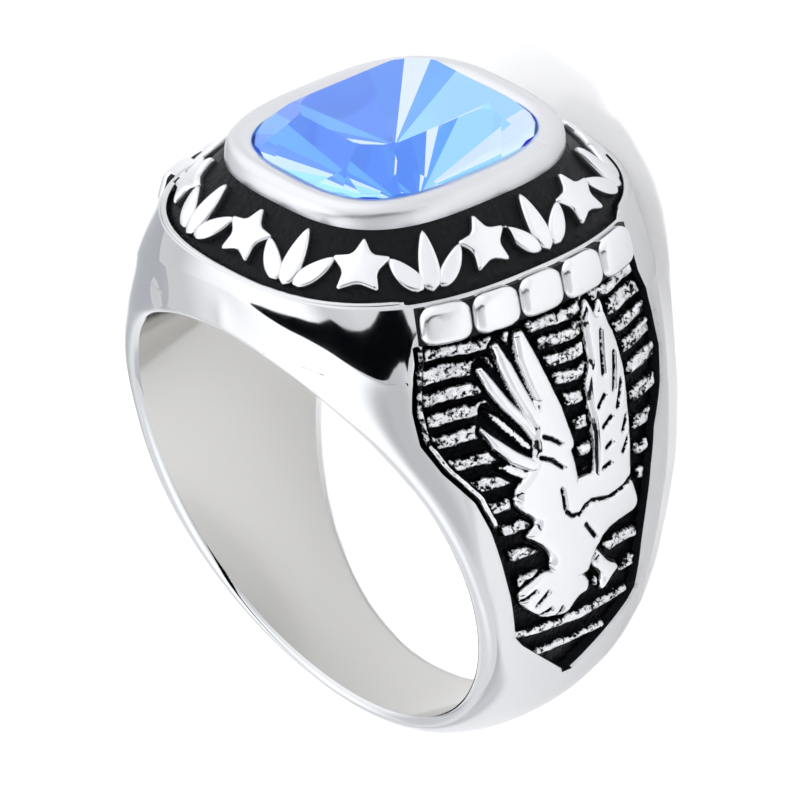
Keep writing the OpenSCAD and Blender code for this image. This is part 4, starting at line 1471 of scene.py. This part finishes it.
@dataclass
class PadRow:
    """The row of polished pads over one shoulder's panel."""

    side: Side
    # The head's outline behind the pads, and the row's length along it.
    line: tuple[float, float, float] = (8.72, 9.6, 2.5)
    run: float = 11.6
    count: int = 5
    gap: float = 0.05
    height: float = 1.72
    out: float = 0.55
    foot: float = 0.9
    sides: int = 64
    power: float = 3.8
    rounding: float = 0.42
    lean: float = 14.0
    mid_z: float = 11.925
    # The strip behind the pads: how much shorter and lower it is than they are, and how far in and
    # out it reaches from their path.
    strip_short: float = 0.12
    strip_low: float = 0.07
    strip_reach: tuple[float, float] = (-0.5, 0.2)
    path_points: int = 241

    def pad(self) -> bpy.types.Object:
        """Draw one pad."""
        turn = full_turn(self.sides)
        w, r = (self.run / self.count - self.gap) / 2, self.rounding
        line = cushion(w, self.height / 2, self.power, turn)
        rings = [(1.0, -self.foot), (1.0, self.out - r)]
        rings += [(1 - r * (1 - math.cos(a)), self.out - r + r * math.sin(a))
                  for a in np.linspace(0, math.pi / 2, 10)[1:]]
        rows = [np.column_stack([line - (1 - k) * np.sign(line) * np.minimum(np.abs(line), w),
                                 np.full(self.sides, z)]) for k, z in rings]
        return make_dome("pad_shape", rows, (0, 0, self.out + 0.04))

    def rail(self, beyond: float) -> tuple[np.ndarray, np.ndarray, np.ndarray]:
        """Path along the head's right side, with the directions up it and out of it."""
        y = np.linspace(-self.run / 2 - beyond, self.run / 2 + beyond, self.path_points)
        x = self.line[0] * (1 - (np.abs(y) / self.line[1]) ** self.line[2]) ** (1 / self.line[2])
        path = np.column_stack([x, y, np.full_like(y, self.mid_z)])
        tangent = unit(np.gradient(path, axis=0))
        level = np.column_stack([tangent[:, 1], -tangent[:, 0], np.zeros(len(y))])
        a = math.radians(self.lean)
        up = np.array([0, 0, 1]) * math.cos(a) - level * math.sin(a)
        return path, up, level * math.cos(a) + np.array([0, 0, 1]) * math.sin(a)

    def ground(self, finish: bpy.types.Material) -> bpy.types.Object:
        """Make the blackened strip that shows in the gaps between the pads."""
        path, up, out = self.rail(-self.strip_short)
        half, (back, front) = self.height / 2 - self.strip_low, self.strip_reach
        corners = [path + up * u + out * o
                   for u, o in ((-half, back), (-half, front), (half, front), (half, back))]
        rows = np.stack(corners, 1) * (self.side.value, 1, 1)
        return make_prism(f"pads_ground_{self.side.name.lower()}", rows, [finish], smooth=False)

    def build(self, finish: bpy.types.Material) -> bpy.types.Object:
        """Set the pads along the head's side."""
        path, up, _ = self.rail(beyond=0.6)
        pitch = self.run / self.count
        first = (line_length(path) - pitch * (self.count - 1)) / 2
        rows = PathRow(f"pads_{self.side.name.lower()}", self.count, first, pitch, {"Pad": self.pad()})
        if self.side is Side.LEFT:
            path, up = (path * (-1, 1, 1))[::-1], (up * (-1, 1, 1))[::-1]
        return rows.run(path, up, False, 0.0, finish)


@dataclass
class Bezel:
    """The rounded band of metal that holds the stone: its profile is out from its foot, and height."""

    profile: tuple[tuple[float, float], ...] = (
        (0.0, 14.2), (0.0, 14.9), (0.02, 15.1), (0.0, 15.45), (-0.05, 15.66), (-0.14, 15.82), (-0.28, 15.94),
        (-0.45, 16.0), (-0.65, 16.02), (-0.82, 15.98), (-0.98, 15.92), (-1.095, 15.86), (-1.135, 15.8),
        (-1.135, 15.6), (-1.3, 15.2), (-1.6, 14.2))
    foot: tuple[float, float, float] = (5.76, 6.65, 2.95)
    sides: int = 360

    def build(self, finish: bpy.types.Material) -> bpy.types.Object:
        """Make the bezel as a closed ring."""
        base = even_run(cushion(*self.foot, full_turn(8 * self.sides)), self.sides, closed=True)
        tangent = unit(np.roll(base, -1, 0) - np.roll(base, 1, 0))
        out = np.column_stack([tangent[:, 1], -tangent[:, 0]])
        rows = [np.column_stack([base + out * wide, np.full(self.sides, z)]) for wide, z in self.profile]
        rows.append(rows[0])
        piece = make_object("bezel", np.vstack(rows), tube_faces(len(rows), self.sides), [finish])
        heal(piece)
        return piece


# ---------------------------------------------------------------- stone

@dataclass
class Stone:
    """The cushion-cut crystal: table, crown facets, thin girdle and foiled pavilion facets."""

    # Half length and half width at the girdle, the girdle's height and thickness, and the crown's.
    x: float = 4.65
    y: float = 5.5
    girdle: float = 15.7
    girdle_t: float = 0.3
    crown: float = 1.6
    power: float = 2.95
    girdle_sides: int = 16
    # Size of the block it is cut from.
    block: float = 40.0
    # Rows of crown facets: count, first turn and tilt in degrees, and how far up they start.
    crown_rows: tuple[tuple[float, ...], ...] = ((8, 0, 38, 0), (16, 11.25, 44, 0), (8, 22.5, 25, 0.62))
    # Pavilion facets run to the culet; the rim row under the girdle is this much steeper.
    pavilion: int = 16
    culet: float = 3.9
    rim_tilt: float = 9.0
    # The tones of the foil's painted glow, for the large facets and for the rim row. The large ones glow
    # paler towards one side of the stone, a painted highlight, in degrees from x, by up to this much.
    main_glow_tones: tuple[float, ...] = (0.16, 0.3, 0.4, 0.54, 0.76, 1.0)
    rim_glow_tones: tuple[float, ...] = (0.0, 0.08, 0.24, 0.6)
    painted_highlight_side: float = 48.0
    painted_highlight_gain: float = 0.14
    least_tone: float = 0.1
    seed: int = 24786

    def reach(self, turn: float) -> float:
        """How far the girdle reaches in a direction."""
        p = self.power / (self.power - 1)
        return (abs(self.x * math.cos(turn)) ** p + abs(self.y * math.sin(turn)) ** p) ** (1 / p)

    def build(self, finishes: list[bpy.types.Material]) -> bpy.types.Object:
        """Cut the stone, one plane a facet.

        Args:
            finishes: Crystal for the crown, foil for the pavilion.

        Returns:
            The stone.
        """
        shape = bmesh.new()
        bmesh.ops.create_cube(shape, size=self.block, matrix=Matrix.Translation((0, 0, self.girdle)))
        planes = [(Vector((0, 0, self.girdle + self.crown)), Vector((0, 0, 1)))]
        for i in range(self.girdle_sides):
            a = math.radians(i * 360 / self.girdle_sides)
            out = Vector((math.cos(a), math.sin(a), 0))
            planes.append((out * self.reach(a) + Vector((0, 0, self.girdle)), out))
        rows = [(1, up, first + i * 360 / count, tilt) for count, first, tilt, up in self.crown_rows
                for i in range(int(count))]
        for i in range(2 * self.pavilion):
            turn = i * 180 / self.pavilion
            tilt = math.degrees(math.atan2(self.culet, self.reach(math.radians(turn))))
            rows.append((-1, 0, turn, tilt + (i % 2) * self.rim_tilt))
        for side, up, first, tilt in rows:
            a, b = math.radians(first), math.radians(tilt)
            out = Vector((math.cos(a), math.sin(a), 0))
            level = Vector((0, 0, self.girdle + side * (self.girdle_t / 2 + up)))
            planes.append((out * self.reach(a) + level,
                           Vector((out.x * math.sin(b), out.y * math.sin(b), side * math.cos(b)))))
        for place, out in planes:
            cut = bmesh.ops.bisect_plane(shape, geom=shape.verts[:] + shape.edges[:] + shape.faces[:],
                                         plane_co=place, plane_no=out, clear_outer=True, dist=1e-5)
            rim = [e for e in cut["geom_cut"] if isinstance(e, bmesh.types.BMEdge)]
            if rim:
                bmesh.ops.contextual_create(shape, geom=rim)
        bmesh.ops.remove_doubles(shape, verts=shape.verts, dist=1e-4)
        bmesh.ops.recalc_face_normals(shape, faces=shape.faces)
        mesh = close_mesh("cut_stone", shape)
        for finish in finishes:
            mesh.materials.append(finish)
        self.tone(mesh)
        return link_object("cut_stone", mesh)

    def tone(self, mesh: bpy.types.Mesh) -> None:
        """Foil the pavilion and girdle, and give each facet the tone of its painted glow."""
        rng = np.random.default_rng(self.seed)
        # Painted highlight: the large facets glow paler towards one side of the stone.
        lean = np.cos(np.arange(self.pavilion) * math.tau / self.pavilion - math.radians(self.painted_highlight_side))
        mains = rng.choice(self.main_glow_tones, self.pavilion) + self.painted_highlight_gain * lean
        mains = np.clip(mains, self.least_tone, 1)
        crown_from, girdle_from = 0.1, -0.2
        painted_glow_tones = []
        for face in mesh.polygons:
            face.material_index = 1 if face.normal.z < crown_from else 0
            turn = round(math.degrees(math.atan2(face.normal.y, face.normal.x)) * self.pavilion / 180)
            rim = turn % 2 == 1 or face.normal.z > girdle_from
            painted_glow_tones.append(rng.choice(self.rim_glow_tones) if rim else mains[turn // 2 % self.pavilion])
        mesh.attributes.new("facet", "FLOAT", "FACE").data.foreach_set("value", painted_glow_tones)


# ---------------------------------------------------------------- studio

@dataclass
class Studio:
    """White tent with soft lights, a pale floor, one dark card and the camera."""

    placement: Placement
    # The camera's axes, distance, shifts and lens, in mm of the upright ring.
    back: tuple[float, float, float] = (0.657368, -0.583555, 0.476792)
    right: tuple[float, float, float] = (0.665056, 0.746788, -0.002926)
    up: tuple[float, float, float] = (-0.354355, 0.319017, 0.879011)
    distance: float = 1116.243
    shift_right: float = 0.161
    shift_up: float = 2.978
    lens: float = 1218.36
    # The card's two long edges: azimuth and elevation on the one, then on the other.
    card: tuple[tuple[float, float, float, float], ...] = (
        (138, 31.5, 138, 32.5), (142, 35, 142, 39.5), (149, 40, 150, 48), (157, 45, 158, 54),
        (168, 50, 171, 60), (178, 53, 186, 63.5), (190, 56.7, 202, 66), (200, 58.4, 220, 67.5),
        (209, 58.9, 236, 67),
        (223, 57.6, 250, 62.5), (235, 54.6, 262, 57), (244, 49.5, 271, 50.5), (251, 43.5, 278, 44),
        (257, 38.5, 283, 39.5), (263, 33, 287, 36), (270, 27, 290, 33), (274, 20, 291.5, 28),
        (275, 12, 289, 20), (274, 6, 285, 13), (273, 1, 281, 2))
    card_distance: float = 0.9
    card_anchor: tuple[float, float, float] = (4.0, -8.9, 11.3)
    # Bright and dim parts of the tent: azimuth, elevation, the half angles of its full and faint
    # parts, and how much it adds.
    glows: tuple[tuple[float, ...], ...] = (
        (158, 46, 18, 45, 0.7), (250, 26, 8, 34, -0.3), (232, 58, 6, 28, -0.14), (40, 42, 15, 60, 0.44),
        (108, 6, 18, 34, -0.2))
    tent: float = 1.19
    tent_colour: str = "#FBFCFF"
    floor_radius: float = 0.7
    floor_sides: int = 48

    def camera(self) -> None:
        """Set the camera at the photograph's angle."""
        data = bpy.data.cameras.new("camera")
        data.lens, data.sensor_width = self.lens, 36.0
        data.clip_start, data.clip_end = 0.05, 10.0
        camera = link_object("camera", data)
        back, right, up = (Vector(v) for v in (self.back, self.right, self.up))
        place = back * self.distance + right * self.shift_right + up * self.shift_up
        axes = Matrix([self.placement.direction(v) for v in (right, up, back)]).transposed()
        camera.matrix_world = Matrix.Translation(self.placement.point(place)) @ axes.to_4x4()
        bpy.context.scene.camera = camera

    def floor(self) -> None:
        """Lay the paper."""
        n = self.floor_sides
        turn = np.arange(n) / n * math.tau
        points = self.floor_radius * np.column_stack([np.cos(turn), np.sin(turn), 0 * turn])
        piece = make_object("floor", points, [tuple(range(n))], [StudioPaper().make()])

    def reflector(self) -> None:
        """Hang the dark card in the direction in which the steel sees it."""
        anchor = self.placement.point(self.card_anchor)
        points = [anchor + toward(az, el) * self.card_distance
                  for row in self.card for az, el in (row[:2], row[2:])]
        strip = [(i, i + 1, i + 3, i + 2) for i in range(0, len(points) - 2, 2)]
        piece = make_object("dark_card", np.array(points), strip, [DarkCard().make()])
        piece.visible_camera = False
        piece.visible_shadow = False
        piece.visible_diffuse = False

    @staticmethod
    def light(name: str, az: float, el: float, size: float, watts: float, casts: bool = False,
              aim: tuple[float, float, float] = (0, 0, 0), spread: float = 180,
              distance: float = 0.8) -> None:
        """Hang one soft light.

        Args:
            name: The light's name.
            az: Its azimuth.
            el: Its elevation.
            size: Its width in metres.
            watts: Its power.
            casts: Whether it throws a shadow.
            aim: Where it points, in metres.
            spread: How wide it shines, in degrees.
            distance: How far it hangs.
        """
        data = bpy.data.lights.new(name, "AREA")
        data.shape, data.size, data.energy = "DISK", size, watts
        data.spread = math.radians(spread)
        lamp = link_object(name, data)
        lamp.location = Vector(aim) + toward(az, el) * distance
        lamp.rotation_mode = "QUATERNION"
        lamp.rotation_quaternion = toward(az, el).to_track_quat("Z", "Y")
        data.use_shadow = casts
        lamp.visible_camera = False
        lamp.visible_glossy = False

    def world(self) -> None:
        """Make the white tent round everything, brighter and dimmer in places."""
        world = bpy.data.worlds.new("tent")
        bpy.context.scene.world = world
        world.use_nodes = True
        tree = world.node_tree
        tree.nodes.clear()
        look = add_node(tree, "ShaderNodeTexCoord").outputs["Generated"]
        total = add_node(tree, "ShaderNodeValue").outputs["Value"]
        total.default_value = self.tent
        for az, el, full, faint, gain in self.glows:
            glow = draw_lobe(tree, look, toward(az, el), full, faint, gain)
            total = add_node(tree, "ShaderNodeMath", {0: total, 1: glow}, operation="ADD").outputs["Value"]
        shade = add_node(tree, "ShaderNodeBackground", {"Strength": total},
                         {"Color": linear(self.tent_colour)})
        add_node(tree, "ShaderNodeOutputWorld", {"Surface": shade.outputs["Background"]})

    def build(self) -> None:
        """Set up the whole studio."""
        self.camera()
        self.world()
        self.floor()
        self.reflector()
        # The key evens out the paper. The two small lights keep it white beside and behind the ring.
        self.light("key_light", 165, 68, 0.5, 2.8)
        self.light("pool_light", 265, 60, 0.06, 0.03, casts=True, aim=(-0.03, 0, 0), spread=16, distance=0.5)
        self.light("back_light", 340, 80, 0.03, 0.0012, aim=(-0.008, -0.021, 0), spread=9, distance=0.5)
        bpy.context.scene.view_settings.view_transform = "Standard"


# ---------------------------------------------------------------- the ring

class Ring:
    """The whole ring: builds each piece, lays it down and attaches it to the ring's body."""

    def __init__(self) -> None:
        """Make the shared surface, placement and finishes."""
        self.surface = RingSurface()
        self.placement = Placement(frame["record"])
        self.polished = PolishedSteel().make()
        self.satin = SatinSteel().make()
        self.tumbled = TumbledSteel().make()
        self.hole = HoleSteel().make()
        self.black = BlackenedSteel().make()
        self.relief = RubbedRelief().make()

    def hand_over(self, piece: bpy.types.Object) -> bpy.types.Object:
        """Lay a piece down and let it ride on the ring's body."""
        self.placement.settle(piece)
        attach(piece, "root")
        piece.data.calc_loop_triangles()
        LOG.info("%s: %d triangles", piece.name, len(piece.data.loop_triangles))
        return piece

    def metal(self) -> None:
        """Build everything of steel."""
        panels = [ShoulderPanel(self.surface, side) for side in Side]
        cutters = [panel.cutter() for panel in panels]
        finishes = [self.polished, self.hole, self.black, self.polished]
        body = self.hand_over(Casting(self.surface).build(cutters, finishes))
        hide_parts("ring_body")
        for panel in panels:
            self.hand_over(panel.build(self.relief))
        collar = Collar()
        self.hand_over(collar.ground(self.black))
        self.hand_over(collar.row(self.tumbled))
        for side in Side:
            self.hand_over(PadRow(side).ground(self.black))
            self.hand_over(PadRow(side).build(self.tumbled))
        self.hand_over(Bezel().build(self.satin))

    def jewel(self) -> None:
        """Build the stone."""
        stone = self.hand_over(Stone().build([CutCrystal().make(), FoilBack().make()]))
        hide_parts("stone")

    def build(self) -> None:
        """Build all pieces."""
        self.metal()
        self.jewel()


def main() -> None:
    """Build the ring and its studio."""
    logging.basicConfig(level=logging.INFO, format="%(message)s")
    ring = Ring()
    ring.build()
    Studio(ring.placement).build()


if __name__ == "__main__":
    main()
